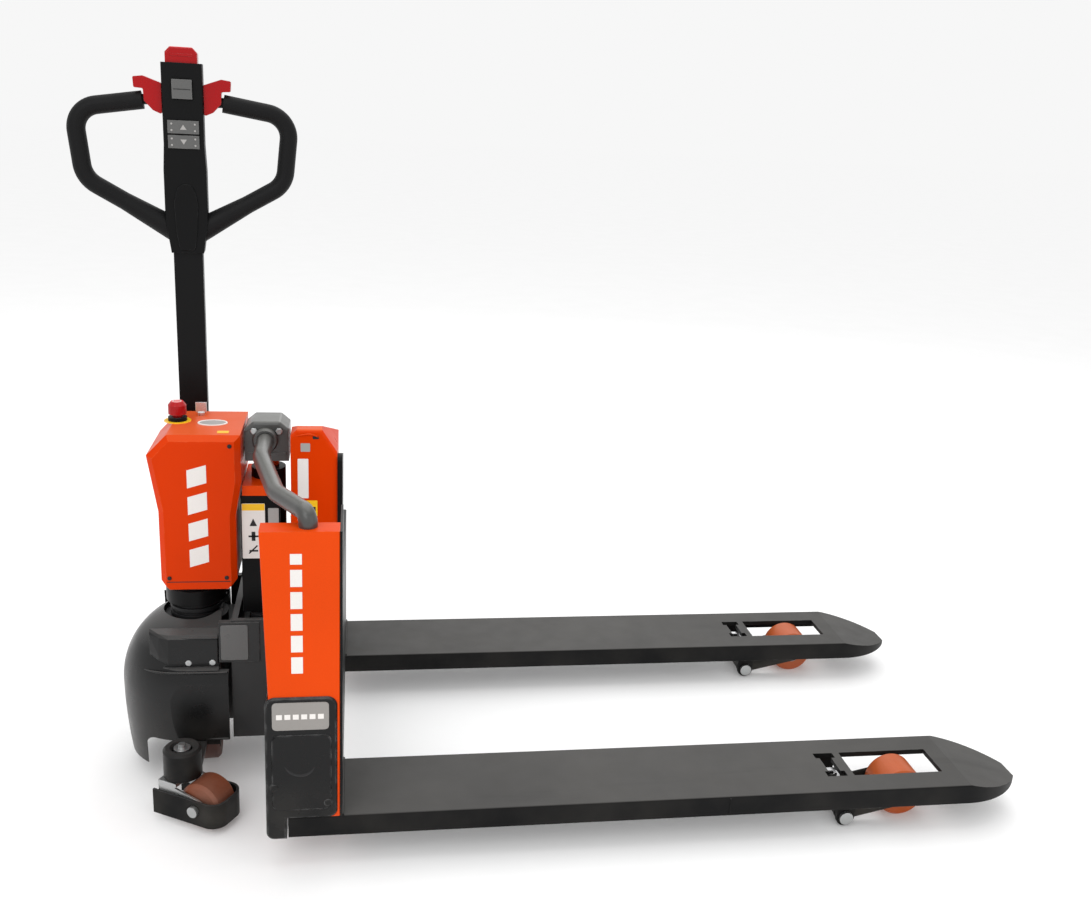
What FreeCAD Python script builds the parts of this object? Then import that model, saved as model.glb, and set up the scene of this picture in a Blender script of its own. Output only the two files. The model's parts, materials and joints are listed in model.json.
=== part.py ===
import FreeCAD, Part
import math
import os
import Sketcher
from FreeCAD import Placement, Rotation, Vector

# Electric pallet truck, one document in millimetres, +Z up, forks towards +X.
# The origin is on the floor, under the middle of the whole truck.  "Right" is the -Y side.
# The steering head is stored turned a quarter turn and a little more, with the tiller upright.

doc = FreeCAD.newDocument("PalletTruck")
sheet = doc.addObject("Spreadsheet::Sheet", "Spec")

SPEC = [
    # place of the two working centres along the truck
    ("heel_x", -356.5), ("steer_x", -602.5), ("head_turn", 4),
    # forks
    ("fork_reach", 1150), ("fork_back", 77), ("fork_wide", 160), ("truck_half", 342.5),
    ("fork_top", 85), ("seat_z", 84.5), ("skirt_low", 51), ("deck_thick", 8), ("skirt_thick", 6),
    ("nose_start", 1036), ("nose_flat", 20), ("nose_drop", 27),
    ("slot_start", 801), ("slot_end", 836), ("well_start", 848), ("well_end", 1006),
    ("well_half", 35), ("slot_neck", 7),
    # load roller, its rocker and its push rod
    ("rocker_x", 832), ("rocker_z", 18), ("arm_x", 109), ("arm_z", 24), ("lever_x", 10),
    ("lever_z", 46), ("roller_r", 42), ("roller_wide", 62),
    ("axle_r", 10), ("pin_r", 8), ("fit", 0.06), ("link_pin_r", 4), ("ear_r", 16),
    ("ear_in", 48), ("ear_thick", 6), ("rod_half", 4.5), ("rod_low", 56), ("rod_high", 76.5),
    ("rod_slot_half", 9), ("rod_slot_top", 71),
    # torsion shaft
    ("shaft_x", -50), ("shaft_z", 115), ("shaft_r", 16), ("shaft_half", 303),
    ("crank_x", 25.3), ("crank_z", 49), ("link_x", 111.4), ("link_z", 57.5), ("link_y", 74),
    ("link_thick", 12), ("link_slot_half", 10.5), ("link_slot_in", 98),
    # uprights, heel covers, back plate, battery
    ("upright_top", 545), ("upright_back", 112), ("upright_foot", 97), ("upright_deep", 37),
    ("upright_skin", 4), ("left_top", 330), ("plate_thick", 3.5), ("plate_low", 330),
    ("plate_mid", 420), ("plate_mid_half", 95), ("plate_tower", 230), ("strip_top", 575),
    ("strip_half", 79),
    ("cover_top", 288), ("cover_low", 85.3), ("cover_toe", 50), ("cover_back", 109),
    ("cover_skin", 3.5), ("bat_back", 82), ("bat_front", 8), ("bat_half", 75),
    ("bat_low", 400), ("bat_top", 616), ("bat_ridge", -50), ("bat_slope_x", 32), ("bat_slope_z", 578),
    # lift cylinder, lift head and arms
    ("ram_x", 124), ("ram_r", 17.5), ("barrel_r", 28), ("barrel_bore", 20), ("barrel_top", 533),
    ("head_half_x", 35), ("head_half_y", 33), ("head_low", 551), ("head_top", 617),
    ("tube_r", 13.5),
    # chassis
    ("deck_low", 238), ("deck_high", 250), ("deck_r", 80), ("deck_half", 70),
    ("side_in", 95), ("side_out", 103), ("side_start", 66), ("side_end", 168),
    ("side_low", 85), ("side_high", 300), ("cyl_shelf", 218), ("cyl_foot", 230),
    ("arm_start", 47), ("arm_low", 225), ("arm_high", 296),
    # fender
    ("fender_r", 124), ("fender_half", 120), ("fender_low", 32), ("fender_foot_r", 115),
    ("dome_z", 160), ("dome_top", 288), ("dome_flat", 38), ("fender_skin", 3),
    ("fender_end", 62), ("fender_step_end", 46), ("side_edge", 90), ("side_front", 76),
    ("neck_hole", 54),
    # steering neck, tiller bracket and hinge
    ("neck_r", 38), ("neck_bore", 28), ("neck_low", 232), ("neck_high", 338), ("ring_out", 43),
    ("race_out", 58), ("race_high", 272), ("hinge_y", 122), ("hinge_z", 350),
    # drive wheel and its yoke
    ("wheel_r", 105), ("wheel_wide", 70), ("tread", 18), ("hub_bore", 12), ("leg_in", 39),
    ("leg_thick", 18), ("leg_r", 40),
    # power cover
    ("box_half", 81), ("box_low", 346), ("box_top", 606), ("box_front", 59), ("box_rear", 86),
    ("waist_front", 44), ("waist_rear", 76), ("box_wide_z", 572), ("box_bevel", 9),
    ("box_skin", 4), ("shelf_low", 500), ("shelf_high", 517), ("column_half", 58),
    # tiller
    ("shaft_half_x", 23), ("shaft_half_y", 16), ("tiller_top", 905), ("housing_low", 868),
    ("housing_half", 31.5), ("stem_half", 33.5), ("housing_top", 1166), ("housing_half_y", 22),
    ("grip_r", 14.3), ("wing_z", 1108), ("cap_top", 1190),
    # casters
    ("caster_x", -5), ("caster_y", 187), ("caster_turn", 31), ("caster_r", 37.5),
    ("caster_wide", 48), ("trail", 48), ("buffer_r", 30),
]


class Size:
    """A size with its value now and the sheet expression that drives it."""

    def __init__(self, text, value):
        self.text = text
        self.value = value

    def __add__(self, other):
        other = as_size(other)
        return Size(f"({self.text} + {other.text})", self.value + other.value)

    def __radd__(self, other):
        return as_size(other) + self

    def __sub__(self, other):
        other = as_size(other)
        return Size(f"({self.text} - {other.text})", self.value - other.value)

    def __rsub__(self, other):
        return as_size(other) - self

    def __mul__(self, other):
        other = as_size(other)
        return Size(f"({self.text} * {other.text})", self.value * other.value)

    def __rmul__(self, other):
        return as_size(other) * self

    def __truediv__(self, other):
        other = as_size(other)
        return Size(f"({self.text} / {other.text})", self.value / other.value)

    def __neg__(self):
        return Size(f"(0 - {self.text})", -self.value)


def as_size(size):
    """Turn a plain number into a Size."""
    if isinstance(size, Size):
        return size
    return Size(f"({size})", float(size))


class Dimensions:
    """The sheet's cells by name."""


d = Dimensions()
for row, (alias, number) in enumerate(SPEC, start=1):
    sheet.set(f"A{row}", alias)
    sheet.set(f"B{row}", str(number))
    sheet.setAlias(f"B{row}", alias)
    setattr(d, alias, Size(f"Spec.{alias}", float(number)))
doc.recompute()

NODES = []
AXIS_TURN = {
    "X": Rotation(Vector(0, 1, 0), 90),
    "Y": Rotation(Vector(1, 0, 0), -90),
    "Z": Rotation(),
}


def bind(item, prop, size):
    """Drive one property of an object from the sheet."""
    item.setExpression(prop, as_size(size).text)


def place(item, x=0, y=0, z=0, rotation=None):
    """Put an object at a bound position, with a fixed rotation."""
    base = Vector(as_size(x).value, as_size(y).value, as_size(z).value)
    item.Placement = Placement(base, rotation or Rotation())
    bind(item, "Placement.Base.x", x)
    bind(item, "Placement.Base.y", y)
    bind(item, "Placement.Base.z", z)
    return item


def box(name, x, y, z):
    """A block between (low, high) pairs along X, Y and Z."""
    item = doc.addObject("Part::Box", name)
    for prop, (low, high) in zip(("Length", "Width", "Height"), (x, y, z)):
        bind(item, prop, as_size(high) - low)
    return place(item, x[0], y[0], z[0])


def cylinder(name, axis, radius, span, centre=(0, 0)):
    """A cylinder along an axis over a (low, high) span; centre holds the other two places."""
    item = doc.addObject("Part::Cylinder", name)
    bind(item, "Radius", radius)
    bind(item, "Height", as_size(span[1]) - span[0])
    first, second = centre
    spot = {"X": (span[0], first, second), "Y": (first, span[0], second),
            "Z": (first, second, span[0])}[axis]
    return place(item, *spot, rotation=AXIS_TURN[axis])


def fuse(name, *items):
    """Join solids that are welded or moulded as one piece."""
    item = doc.addObject("Part::MultiFuse", name)
    item.Shapes = list(items)
    item.Refine = True
    return item


def cut(name, base, *tools):
    """Cut one or more tools from a base."""
    item = doc.addObject("Part::Cut", name)
    item.Base = base
    item.Tool = tools[0] if len(tools) == 1 else fuse(name + "Tools", *tools)
    item.Refine = True
    return item


def group(name, *items):
    """Several separate solids of one kind in one node."""
    item = doc.addObject("Part::Compound", name)
    item.Links = list(items)
    return item


def node(item, label, x=0, y=0, z=0, turn=None):
    """Name a finished sub-part and put its working centre in the truck."""
    if not item.Placement.isIdentity():
        item = group(item.Name + "Set", item)
    item.Label = label
    rotation = Rotation(Vector(0, 0, 1), as_size(turn).value) if turn is not None else Rotation()
    place(item, x, y, z, rotation)
    if turn is not None:
        bind(item, "Placement.Rotation.Angle", turn)
    NODES.append(item)
    return item


def mirrored(right, label):
    """The left-hand twin of a right-hand sub-part, across the truck's middle plane."""
    item = doc.addObject("Part::Mirroring", right.Name + "Twin")
    item.Source = right
    item.Normal = Vector(0, 1, 0)
    item.Label = label
    NODES.append(item)
    return item


def body(name):
    """An empty PartDesign body."""
    return doc.addObject("PartDesign::Body", name)


def arc_between(start, end, radius):
    """The short arc from start to end, bulging to the right of the way."""
    chord = end - start
    half = chord.Length / 2
    sagitta = radius - math.sqrt(radius * radius - half * half)
    side = Vector(chord.y, -chord.x, 0).normalize()
    middle = (start + end) * 0.5 + side * sagitta
    return Part.Arc(start, middle, end)


def outline(owner, plane, points, offset=0):
    """A closed sketch on an origin plane of the body.

    Each point is (x, y), or (x, y, radius) where an arc leads to it from the point before."""
    sketch = owner.newObject("Sketcher::SketchObject", owner.Name + "Outline")
    role = plane + "_Plane"
    flat = [item for item in owner.Origin.OriginFeatures if item.Role == role][0]
    sketch.AttachmentSupport = (flat, "")
    sketch.MapMode = "FlatFace"
    bind(sketch, "AttachmentOffset.Base.z", offset)
    spots = [Vector(as_size(p[0]).value, as_size(p[1]).value, 0) for p in points]
    count = len(points)
    for index in range(count):
        start, end = spots[index], spots[(index + 1) % count]
        target = points[(index + 1) % count]
        if len(target) == 3:
            curve = arc_between(start, end, as_size(target[2]).value)
        else:
            curve = Part.LineSegment(start, end)
        sketch.addGeometry(curve)
    ends = [edge_ends(sketch.Geometry[index], spots[index]) for index in range(count)]
    for index in range(count):
        after = (index + 1) % count
        sketch.addConstraint(Sketcher.Constraint("Coincident", index, ends[index][1],
                                                 after, ends[after][0]))
    for index in range(count):
        for kind, size, now in (("DistanceX", points[index][0], spots[index].x),
                                ("DistanceY", points[index][1], spots[index].y)):
            made = sketch.addConstraint(
                Sketcher.Constraint(kind, -1, 1, index, ends[index][0], now))
            bind(sketch, f"Constraints[{made}]", size)
        target = points[(index + 1) % count]
        if len(target) == 3:
            radius = as_size(target[2])
            made = sketch.addConstraint(Sketcher.Constraint("Radius", index, radius.value))
            bind(sketch, f"Constraints[{made}]", radius)
    return sketch


def edge_ends(curve, start):
    """Which of a sketch edge's two ends (1 or 2) is its start in the outline, then the other."""
    near_first = (curve.StartPoint - start).Length < (curve.EndPoint - start).Length
    return (1, 2) if near_first else (2, 1)


def pad(owner, sketch, length, centred=True):
    """Pad a sketch, half to each side or up from its plane."""
    feature = owner.newObject("PartDesign::Pad", owner.Name + "Pad")
    feature.Profile = sketch
    bind(feature, "Length", length)
    feature.Midplane = centred
    doc.recompute()
    return feature


def pocket(owner, sketch, length, centred=True):
    """Cut a sketch's outline through the body and make sure that it removes something."""
    before = owner.Shape.Volume
    feature = owner.newObject("PartDesign::Pocket", owner.Name + "Pocket")
    feature.Profile = sketch
    bind(feature, "Length", length)
    feature.Midplane = centred
    doc.recompute()
    if owner.Shape.Volume >= before - 1:
        raise ValueError(f"{feature.Name} removes nothing")
    return feature


def soften(owner, kind, size, chosen):
    """A PartDesign Fillet or Chamfer on the edges that chosen(edge) accepts."""
    base = owner.Tip
    names = [f"Edge{number}" for number, edge in enumerate(base.Shape.Edges, start=1)
             if chosen(edge)]
    feature = owner.newObject(f"PartDesign::{kind}", owner.Name + kind)
    feature.Base = (base, names)
    bind(feature, "Radius" if kind == "Fillet" else "Size", size)
    doc.recompute()
    return feature


def along(axis):
    """A chooser for straight edges that run along an axis."""
    def test(edge):
        start, end = edge.Vertexes[0].Point, edge.Vertexes[-1].Point
        step = end - start
        length = step.Length
        return length > 1e-6 and abs(abs(getattr(step, axis)) - length) < 1e-4 * length
    return test


def bent_tube(name, points, radii, tube_radius):
    """A round tube swept along straight runs joined by tangent arcs."""
    spots = [Vector(*point) for point in points]
    edges = []
    start = spots[0]
    for index, radius in enumerate(radii, start=1):
        corner, onward = spots[index], spots[index + 1]
        back = (start - corner).normalize()
        ahead = (onward - corner).normalize()
        half_turn = (math.pi - back.getAngle(ahead)) / 2
        reach = radius * math.tan(half_turn)
        bisector = (back + ahead).normalize()
        centre = corner + bisector * (radius / math.cos(half_turn))
        first, last = corner + back * reach, corner + ahead * reach
        edges.append(Part.LineSegment(start, first).toShape())
        edges.append(Part.Arc(first, centre - bisector * radius, last).toShape())
        start = last
    edges.append(Part.LineSegment(start, spots[-1]).toShape())
    route = doc.addObject("Part::Feature", name + "Route")
    route.Shape = Part.Wire(edges)
    ring = doc.addObject("Part::Circle", name + "Ring")
    bind(ring, "Radius", tube_radius)
    way = (spots[1] - spots[0]).normalize()
    ring.Placement = Placement(spots[0], Rotation(Vector(0, 0, 1), way))
    sweep = doc.addObject("Part::Sweep", name)
    sweep.Sections = [ring]
    sweep.Spine = (route, [])
    sweep.Solid = True
    sweep.Frenet = True
    return sweep


def link_plate(name, first, last, radius_first, radius_last, y):
    """A flat link between two round ends in the XZ plane, over a (low, high) span of Y."""
    x1, z1 = as_size(first[0]), as_size(first[1])
    x2, z2 = as_size(last[0]), as_size(last[1])
    ends = [cylinder(name + "EndA", "Y", radius_first, y, (x1, z1)),
            cylinder(name + "EndB", "Y", radius_last, y, (x2, z2))]
    web = body(name + "Web")
    run, rise = x2.value - x1.value, z2.value - z1.value
    length = math.hypot(run, rise)
    side_x, side_z = -rise / length, run / length
    points = [(x1 + radius_first * side_x, z1 + radius_first * side_z),
              (x1 - radius_first * side_x, z1 - radius_first * side_z),
              (x2 - radius_last * side_x, z2 - radius_last * side_z),
              (x2 + radius_last * side_x, z2 + radius_last * side_z)]
    middle = (as_size(y[0]) + y[1]) / 2
    pad(web, outline(web, "XZ", points, -middle), as_size(y[1]) - y[0])
    return fuse(name, web, *ends)


# ---------------------------------------------------------------- forks and load rollers

fork_mid = -(d.truck_half - d.fork_wide / 2)


def nose_curve():
    """Radius of the arcs that round the nose from its sides to its blunt tip."""
    run = d.fork_reach - d.nose_start
    drop = d.fork_wide / 2 - d.nose_flat
    return (run * run + drop * drop) / (2 * drop)


def make_fork():
    """A pressed channel with a tapered nose, a rod slot, a roller well and two pairs of ears."""
    half = d.fork_wide / 2
    blade = body("ForkBlade")
    curve = nose_curve()
    pad(blade, outline(blade, "XY", [
        (-d.fork_back, -half), (d.nose_start, -half), (d.fork_reach, -d.nose_flat, curve),
        (d.fork_reach, d.nose_flat), (d.nose_start, half, curve), (-d.fork_back, half),
    ], d.skirt_low), d.fork_top - d.skirt_low, centred=False)
    tip_x = d.fork_reach + 10
    pocket(blade, outline(blade, "XZ", [
        (d.nose_start, d.fork_top), (tip_x, d.fork_top - d.nose_drop), (tip_x, d.fork_top + 10),
        (d.nose_start, d.fork_top + 10)]), d.fork_wide + 10)
    soften(blade, "Fillet", 3, lambda edge: edge.BoundBox.ZMin > d.fork_top.value - 0.1
           and edge.BoundBox.XLength > 500)
    inside = half - d.skirt_thick
    pocket(blade, outline(blade, "XZ", [
        (-d.fork_back - 5, 0), (d.nose_start, 0),
        (d.nose_start, d.fork_top - d.deck_thick), (0, d.fork_top - d.deck_thick),
        (0, d.fork_top + 5), (-d.fork_back - 5, d.fork_top + 5)]), inside * 2)
    seat_end = d.plate_thick + 0.2
    pocket(blade, outline(blade, "XZ", [
        (-d.fork_back - 5, d.seat_z), (seat_end, d.seat_z), (seat_end, d.fork_top + 5),
        (-d.fork_back - 5, d.fork_top + 5)]), d.fork_wide + 10)
    pocket(blade, outline(blade, "XY", [
        (d.well_start, -d.well_half), (d.well_end, -d.well_half),
        (d.well_end, d.well_half), (d.well_start, d.well_half)], d.fork_top + 5),
        d.fork_wide, centred=False)
    neck = d.well_half - 15
    low, high = d.slot_start + d.slot_neck, d.slot_end - d.slot_neck
    pocket(blade, outline(blade, "XY", [
        (d.slot_start, -d.well_half), (d.slot_end, -d.well_half), (d.slot_end, -neck),
        (high, -neck), (high, neck), (d.slot_end, neck), (d.slot_end, d.well_half),
        (d.slot_start, d.well_half), (d.slot_start, neck), (low, neck), (low, -neck),
        (d.slot_start, -neck)], d.fork_top + 5), d.fork_wide, centred=False)
    parts = [blade]
    for sign in (-1, 1):
        low_y = d.ear_in * sign if sign > 0 else -d.ear_in - d.ear_thick
        span = (low_y, low_y + d.ear_thick)
        ear_top = d.fork_top - d.deck_thick
        web = box("ForkEarWeb", (d.rocker_x - d.ear_r, d.rocker_x + d.ear_r), span,
                  (d.rocker_z, ear_top))
        boss = cylinder("ForkEarBoss", "Y", d.ear_r, span, (d.rocker_x, d.rocker_z))
        parts += [web, boss]
    bore = cylinder("ForkEarBore", "Y", d.pin_r + d.fit, (-half, half), (d.rocker_x, d.rocker_z))
    return cut("ForkShape", fuse("ForkBlank", *parts), bore)


fork_right = node(make_fork(), "fork_right", d.heel_x, fork_mid)
fork_left = mirrored(fork_right, "fork_left")


def make_rocker_pins():
    """A shouldered pin with a round head through each pair of ears."""
    pins = []
    for sign in (-1, 1):
        far = d.ear_in + d.ear_thick
        middle = fork_mid * sign
        centre = (d.rocker_x, d.rocker_z)
        shank = cylinder("RockerPin", "Y", d.pin_r, (middle - far - 1, middle + far + 1), centre)
        heads = [cylinder("RockerPinHead", "Y", d.pin_r + 3.5,
                          (middle + far + 0.2, middle + far + 6), centre),
                 cylinder("RockerPinNut", "Y", d.pin_r + 3.5,
                          (middle - far - 6, middle - far - 0.2), centre)]
        pins.append(fuse("RockerPinWhole", shank, *heads))
    return group("RockerPins", *pins)


node(make_rocker_pins(), "rocker_pins", d.heel_x)


def make_rocker():
    """Two arms from the pivot tube to the roller axle, and a lever pair up to the rod pin."""
    pivot = (d.rocker_x, d.rocker_z)
    axle_at = (d.rocker_x + d.arm_x, d.rocker_z + d.arm_z)
    lever_at = (d.rocker_x - d.lever_x, d.rocker_z + d.lever_z)
    arm_in = d.well_half + 1
    arm_out = arm_in + 5
    parts = [cylinder("RockerTube", "Y", d.pin_r + 5, (-arm_out, arm_out), pivot),
             cylinder("RockerAxle", "Y", d.axle_r, (-arm_out, arm_out), axle_at),
             cylinder("RockerRodPin", "Y", d.link_pin_r, (-14, 14), lever_at)]
    for low, high in ((-arm_out, -arm_in), (arm_in, arm_out)):
        parts.append(link_plate("RockerArm", pivot, axle_at, d.pin_r + 6, d.axle_r + 4,
                                (low, high)))
    for low, high in ((-12, -7), (7, 12)):
        parts.append(link_plate("RockerLever", pivot, lever_at, d.pin_r + 5, d.link_pin_r + 4,
                                (low, high)))
    bore = cylinder("RockerBore", "Y", d.pin_r + d.fit, (-arm_out - 1, arm_out + 1), pivot)
    return cut("RockerShape", fuse("RockerBlank", *parts), bore)


rocker_right = node(make_rocker(), "rocker_right", d.heel_x, fork_mid)
mirrored(rocker_right, "rocker_left")


def turned(name, points):
    """A body revolved about its own Z axis from (radius, height) points."""
    owner = body(name)
    sketch = outline(owner, "XZ", points)
    feature = owner.newObject("PartDesign::Revolution", name + "Turn")
    feature.Profile = sketch
    feature.ReferenceAxis = (sketch, ["V_Axis"])
    feature.Angle = 360
    doc.recompute()
    return owner


def turned_along(name, axis, points, centre):
    """A revolved body laid along X or Y with its middle at a centre (x, y, z)."""
    return place(turned(name, points), *centre, rotation=AXIS_TURN[axis])


def wheel_section(inner, outer, wide, edge):
    """Half-section of a wheel: a bore, flat sides and bevelled tread corners."""
    half = wide / 2
    return [(inner, -half), (outer - edge, -half), (outer, -half + edge),
            (outer, half - edge), (outer - edge, half), (inner, half)]


roller_at = (d.rocker_x + d.arm_x, 0, d.rocker_z + d.arm_z)
roller = turned_along("LoadRoller", "Y",
                      wheel_section(d.axle_r + d.fit, d.roller_r, d.roller_wide, as_size(4)),
                      roller_at)
roller_right = node(roller, "load_roller_right", d.heel_x, fork_mid)
mirrored(roller_right, "load_roller_left")


def make_push_rod():
    """A flat bar inside the fork, with an open hook over each link pin."""
    rear = d.shaft_x - d.crank_x
    front = d.rocker_x - d.lever_x
    end = d.rod_slot_half + 6
    bar = body("PushRod")
    points = [
        (rear - end, d.rod_low), (rear - d.rod_slot_half, d.rod_low),
        (rear - d.rod_slot_half, d.rod_slot_top), (rear + d.rod_slot_half, d.rod_slot_top),
        (rear + d.rod_slot_half, d.rod_low), (front - d.rod_slot_half, d.rod_low),
        (front - d.rod_slot_half, d.rod_slot_top), (front + d.rod_slot_half, d.rod_slot_top),
        (front + d.rod_slot_half, d.rod_low), (front + end, d.rod_low),
        (front + end, d.rod_high), (rear - end, d.rod_high)]
    pad(bar, outline(bar, "XZ", points), d.rod_half * 2)
    return bar


rod_right = node(make_push_rod(), "push_rod_right", d.heel_x, fork_mid)
mirrored(rod_right, "push_rod_left")


def make_torsion_shaft():
    """A cross shaft with a crank pair for each push rod and two slotted links to the chassis."""
    centre = (d.shaft_x, d.shaft_z)
    parts = [cylinder("TorsionTube", "Y", d.shaft_r, (-d.shaft_half, d.shaft_half), centre)]
    crank_at = (d.shaft_x - d.crank_x, d.shaft_z - d.crank_z)
    for sign in (-1, 1):
        middle = fork_mid * sign
        for low, high in ((-12, -7), (7, 12)):
            parts.append(link_plate("CrankPlate", centre, crank_at, d.shaft_r + 4,
                                    d.link_pin_r + 4, (middle + low, middle + high)))
        parts.append(cylinder("CrankPin", "Y", d.link_pin_r, (middle - 12, middle + 12),
                              crank_at))
    link_end = (d.shaft_x - d.link_x, d.shaft_z + d.link_z)
    for low in (-d.link_y - d.link_thick, d.link_y):
        parts.append(link_plate("ChassisLink", centre, link_end, d.shaft_r + 6, 18,
                                (low, low + d.link_thick)))
    slots = []
    run, rise = -d.link_x.value, d.link_z.value
    length = math.hypot(run, rise)
    along_x, along_z = run / length, rise / length
    side_x, side_z = -along_z, along_x
    for low in (-d.link_y - d.link_thick - 1, d.link_y - 1):
        slot = body("LinkSlot")
        near, far = d.link_slot_in, d.link_slot_in + 60
        points = []
        for reach, side in ((near, 1), (far, 1), (far, -1), (near, -1)):
            points.append((d.shaft_x + reach * along_x + d.link_slot_half * side * side_x,
                           d.shaft_z + reach * along_z + d.link_slot_half * side * side_z))
        pad(slot, outline(slot, "XZ", points, -(low + d.link_thick / 2 + 1)), d.link_thick + 2)
        slots.append(slot)
    return cut("TorsionShape", fuse("TorsionBlank", *parts), *slots)


node(make_torsion_shaft(), "torsion_shaft", d.heel_x)


# ---------------------------------------------------------------- uprights, plate, battery

def make_upright(top):
    """A folded steel post, open towards the middle, with a bearing boss for the torsion shaft."""
    post = body("Upright")
    outer = -d.truck_half
    middle = outer + d.upright_deep / 2
    rise = (top - d.seat_z) / (d.upright_top - d.seat_z)
    back = d.upright_foot + (d.upright_back - d.upright_foot) * rise
    profile = [(-back, top), (-d.upright_foot, d.seat_z), (-0.1, d.seat_z), (-0.1, top)]
    pad(post, outline(post, "XZ", profile, -middle), d.upright_deep)
    soften(post, "Fillet", 2.5, lambda edge: abs(edge.BoundBox.YMin - outer.value) < 0.1
           and abs(edge.BoundBox.YMax - outer.value) < 0.1 and edge.BoundBox.ZLength > 100)
    skin = d.upright_skin
    hollow = [(-back + skin + 1, top - skin), (-d.upright_foot + skin, d.seat_z + skin),
              (-skin, d.seat_z + skin), (-skin, top - skin)]
    pocket(post, outline(post, "XZ", hollow, -(middle + skin)), d.upright_deep)
    centre = (d.shaft_x, d.shaft_z)
    boss_in = outer + d.upright_deep + 14
    boss = cylinder("UprightBoss", "Y", d.shaft_r + 9, (outer + skin - 1, boss_in), centre)
    bore = cylinder("UprightBore", "Y", d.shaft_r + d.fit, (-d.shaft_half - 2, boss_in + 1),
                    centre)
    return cut("UprightShape", fuse("UprightBlank", post, boss), bore)


node(make_upright(d.upright_top), "upright_right", d.heel_x)
left_post = doc.addObject("Part::Mirroring", "LeftPost")
left_post.Source = make_upright(d.left_top)
left_post.Normal = Vector(0, 1, 0)
node(left_post, "upright_left", d.heel_x)


def make_heel_cover():
    """A moulded cap round the foot of an upright, with a toe down behind the fork's end."""
    cap = body("HeelCover")
    low_y, high_y = -d.truck_half - d.cover_skin - 0.2, -d.truck_half + d.upright_deep
    middle = (low_y + high_y) / 2
    back, front, toe_front = -d.cover_back, as_size(-4), -d.fork_back - 2
    corner, foot_corner = 15, 12
    pad(cap, outline(cap, "XZ", [
        (back, d.cover_toe + foot_corner), (back + foot_corner, d.cover_toe, as_size(foot_corner)),
        (toe_front, d.cover_toe), (toe_front, d.cover_low),
        (front - foot_corner, d.cover_low), (front, d.cover_low + foot_corner, as_size(foot_corner)),
        (front, d.cover_top - corner), (front - corner, d.cover_top, as_size(corner)),
        (back + corner, d.cover_top), (back, d.cover_top - corner, as_size(corner))], -middle),
        high_y - low_y)
    soften(cap, "Chamfer", d.cover_skin - 1.2, lambda edge: abs(edge.BoundBox.YMax - low_y.value)
           < 0.1)
    skin_x = back + d.cover_skin
    inner = [(skin_x, d.cover_toe - 5), (toe_front - 0.5, d.cover_toe - 5),
             (toe_front - 0.5, d.cover_low - 5), (3, d.cover_low - 5), (3, d.cover_top + 5),
             (skin_x, d.cover_top + 5)]
    pocket(cap, outline(cap, "XZ", inner, -(middle + d.cover_skin)), high_y - low_y)
    bumps = [cylinder("CoverScrew", "Y", 6, (low_y - 2, low_y + 1), spot)
             for spot in ((-d.cover_back + 12, 140), (-18, 112))]
    return fuse("HeelCoverShape", cap, *bumps)


cover_right = node(make_heel_cover(), "heel_cover_right", d.heel_x)
mirrored(cover_right, "heel_cover_left")


def make_back_plate():
    """The plate behind the load: low on the left, stepped up to the right-hand upright."""
    plate = body("BackPlate")
    half, mid = d.truck_half, d.plate_mid_half
    pad(plate, outline(plate, "YZ", [
        (-half, d.seat_z), (half, d.seat_z), (half, d.plate_low), (mid + 25, d.plate_low),
        (mid, d.plate_mid), (-mid, d.plate_mid), (-d.plate_tower, d.plate_mid),
        (-d.plate_tower, d.upright_top), (-half, d.upright_top)]), d.plate_thick, centred=False)
    strip = body("BatteryBack")
    corner = 12
    pad(strip, outline(strip, "YZ", [
        (-d.strip_half, d.plate_mid - 40), (d.strip_half, d.plate_mid - 40),
        (d.strip_half, d.strip_top - 44), (corner - d.strip_half, d.strip_top),
        (-d.strip_half, d.strip_top - corner, as_size(corner))], -d.bat_front + 0.1),
        d.bat_front + 0.1, centred=False)
    return fuse("BackPlateShape", plate, strip)


node(make_back_plate(), "back_plate", d.heel_x)


def make_battery():
    """The battery case, sloped towards the forks and to the left at its top."""
    case = body("Battery")
    points = [(-d.bat_back, d.bat_low), (-d.bat_front, d.bat_low),
              (-d.bat_front, d.bat_slope_z), (-d.bat_slope_x, d.bat_top),
              (-d.bat_back + 10, d.bat_top), (-d.bat_back, d.bat_top - 10)]
    pad(case, outline(case, "XZ", points), d.bat_half * 2)
    pocket(case, outline(case, "YZ", [
        (d.bat_ridge, d.bat_top), (d.bat_half + 5, d.bat_top - 44),
        (d.bat_half + 5, d.bat_top + 5), (d.bat_ridge, d.bat_top + 5)]), d.bat_back * 3)
    soften(case, "Fillet", 5, lambda edge: edge.BoundBox.YLength < 1
           and edge.BoundBox.ZMin > d.bat_low.value + 1)
    return case


node(make_battery(), "battery_case", d.heel_x)


# ---------------------------------------------------------------- lift cylinder and conduit

def make_barrel():
    """The cylinder barrel, closed below and with a gland round the ram at its mouth."""
    foot = d.cyl_foot
    centre = (d.ram_x, 0)
    outer = cylinder("BarrelOuter", "Z", d.barrel_r, (foot, d.barrel_top), centre)
    bore = cylinder("BarrelBore", "Z", d.barrel_bore, (foot + 12, d.barrel_top - 16), centre)
    mouth = cylinder("BarrelMouth", "Z", d.ram_r + d.fit, (foot + 20, d.barrel_top + 1), centre)
    return cut("BarrelShape", outer, bore, mouth)


def make_ram():
    """The ram with its piston."""
    foot = d.cyl_foot + 20
    centre = (d.ram_x, 0)
    rod = cylinder("RamRod", "Z", d.ram_r, (foot, d.head_low), centre)
    piston = cylinder("RamPiston", "Z", d.barrel_bore - d.fit, (foot, foot + 25), centre)
    return fuse("RamShape", rod, piston)


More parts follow.
